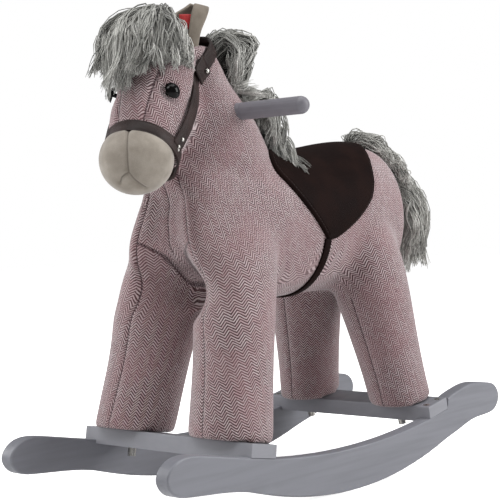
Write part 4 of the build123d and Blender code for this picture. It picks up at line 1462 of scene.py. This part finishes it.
TAIL_GUIDES_MM = [  # round the tail, from its root down to the tip
    [(0, 276, 352), (12, 290, 350), (21, 303, 330), (24, 306, 300), (22, 300, 256)],
    [(0, 278, 356), (8, 300, 356), (14, 318, 334), (17, 319, 300), (15, 310, 252)],
    [(0, 280, 358), (0, 306, 360), (4, 327, 336), (5, 327, 300), (3, 315, 248)],
    [(0, 278, 356), (-8, 300, 356), (-13, 318, 334), (-17, 319, 300), (-15, 310, 252)],
    [(0, 276, 352), (-12, 290, 350), (-22, 302, 330), (-26, 306, 300), (-24, 300, 256)],
    [(0, 272, 346), (-12, 282, 338), (-20, 290, 316), (-23, 289, 290), (-20, 285, 252)],
    [(0, 272, 344), (0, 284, 336), (0, 290, 314), (0, 289, 290), (0, 283, 250)],
    [(0, 272, 346), (12, 282, 338), (19, 290, 316), (21, 289, 290), (19, 285, 252)],
]


def guide_from(root, out, lateral, down, steps):
    """A guide from its root, by steps that are shares of out, lateral and down."""
    return [root + out * a + lateral * b + down * c for a, b, c in steps]


def mane_guides(side):
    """Guides down the crest of the neck to the saddle, falling to one side."""
    guides = []
    for k, root in zip(np.linspace(0, 1, len(MANE_CREST_MM)), np.array(MANE_CREST_MM, float)):
        out = 27 + 25 * math.exp(-(((k - 0.32) / 0.30) ** 2)) - 6 * k
        lateral = np.array((side, -0.25 * abs(side) * smoothstep(0.1, 0.5, k), 0))
        down = MANE_DOWN * (60 - 10 * k)
        guides.append(guide_from(root, MANE_OUT * out, lateral, down, MANE_STEPS))
    return np.array(guides) * MM


def rump_guides(side):
    """Guides along the strip from the saddle to the tail's root, falling to one side."""
    guides = []
    for k, root in zip(np.linspace(0, 1, len(RUMP_LINE_MM)), np.array(RUMP_LINE_MM, float)):
        out = unit((0, 0.25 + 0.6 * k, 0.97 - 0.5 * k))
        down = unit((0, 0.92 - 0.5 * k, -0.35 - 0.55 * k))
        guides.append(guide_from(root, out, np.array((side, 0, 0)), down, RUMP_STEPS))
    return np.array(guides) * MM


def make_all_yarn(tree):
    forelock = [[head_point(*p) for p in guide] for guide in FORELOCK_GUIDES_MM]
    batch = (forelock, 230, 15, 0.0064, 0.55, 12, 0.0019, 0.004)
    make_yarn("forelock_yarn", 11, tree, [batch], "forelock")
    batches = [
        (mane_guides(side), locks, 13, 0.0058, 0.6, 13, 0.0016, 0.004)
        for side, locks in MANE_LOCKS.items()
    ]
    make_yarn("mane_yarn", 23, tree, batches, "mane")
    batches = [
        (rump_guides(side), locks, 14, 0.0043, 0.6, 12, 0.0015, 0.003, 0.76)
        for side, locks in RUMP_LOCKS.items()
    ]
    make_yarn("rump_yarn", 37, tree, batches, "rump_strip")
    # The tail's yarn takes a paler tone (0.8): painted light, where the lamp from the right falls
    # on it
    tail = np.array(TAIL_GUIDES_MM + TAIL_GUIDES_MM[:1], float) * MM
    batch = (tail, 240, 14, 0.0048, 0.7, 13, 0.0018, 0.003, 0.8)
    make_yarn("tail_yarn", 53, tree, [batch], "tail", "tail")


# ---------------------------------------------------------------- everything together
def dress_cad_nodes():
    """Gives every node that stays its procedural material, by the record's slots."""
    for part in frame["record"]["subparts"]:
        if part["node"] in NODES and part["material_slot"] in LOOKS:
            materials = NODES[part["node"]].data.materials
            materials.clear()
            materials.append(LOOKS[part["material_slot"]])


WORLD_LIGHT = (0.21, 1.0)  # to light rays and to the camera
FLOOR_HALF = 6.0


def make_stage():
    corners = [(x * FLOOR_HALF, y * FLOOR_HALF, 0) for x, y in ((-1, -1), (1, -1), (1, 1), (-1, 1))]
    mesh = new_mesh(corners, [(0, 1, 2, 3)], closed=False)
    mesh.materials.append(LOOKS["studio_floor"])
    new_object("studio_floor", mesh)
    SCENE.world = world = bpy.data.worlds.new("studio")
    world.use_nodes = True
    tree = world.node_tree
    background = tree.nodes["Background"].inputs
    background["Color"].default_value = (1, 1, 1, 1)
    path = tree.nodes.new("ShaderNodeLightPath")
    level = tree.nodes.new("ShaderNodeMapRange")
    level.inputs["To Min"].default_value, level.inputs["To Max"].default_value = WORLD_LIGHT
    tree.links.new(path.outputs["Is Camera Ray"], level.inputs["Value"])
    tree.links.new(level.outputs["Result"], background["Strength"])
    SCENE.view_settings.view_transform = "Standard"
    for name, settings in LIGHTS.items():
        make_light(name, *settings)


make_looks()
make_camera()
make_stage()
dress_cad_nodes()
skin_tree = make_skin()
make_muzzle()
make_bridle(skin_tree)
make_saddle(skin_tree)
for ear_name, ear_side in SIDES.items():
    make_ear(ear_name, ear_side)
make_tag()
make_all_yarn(skin_tree)
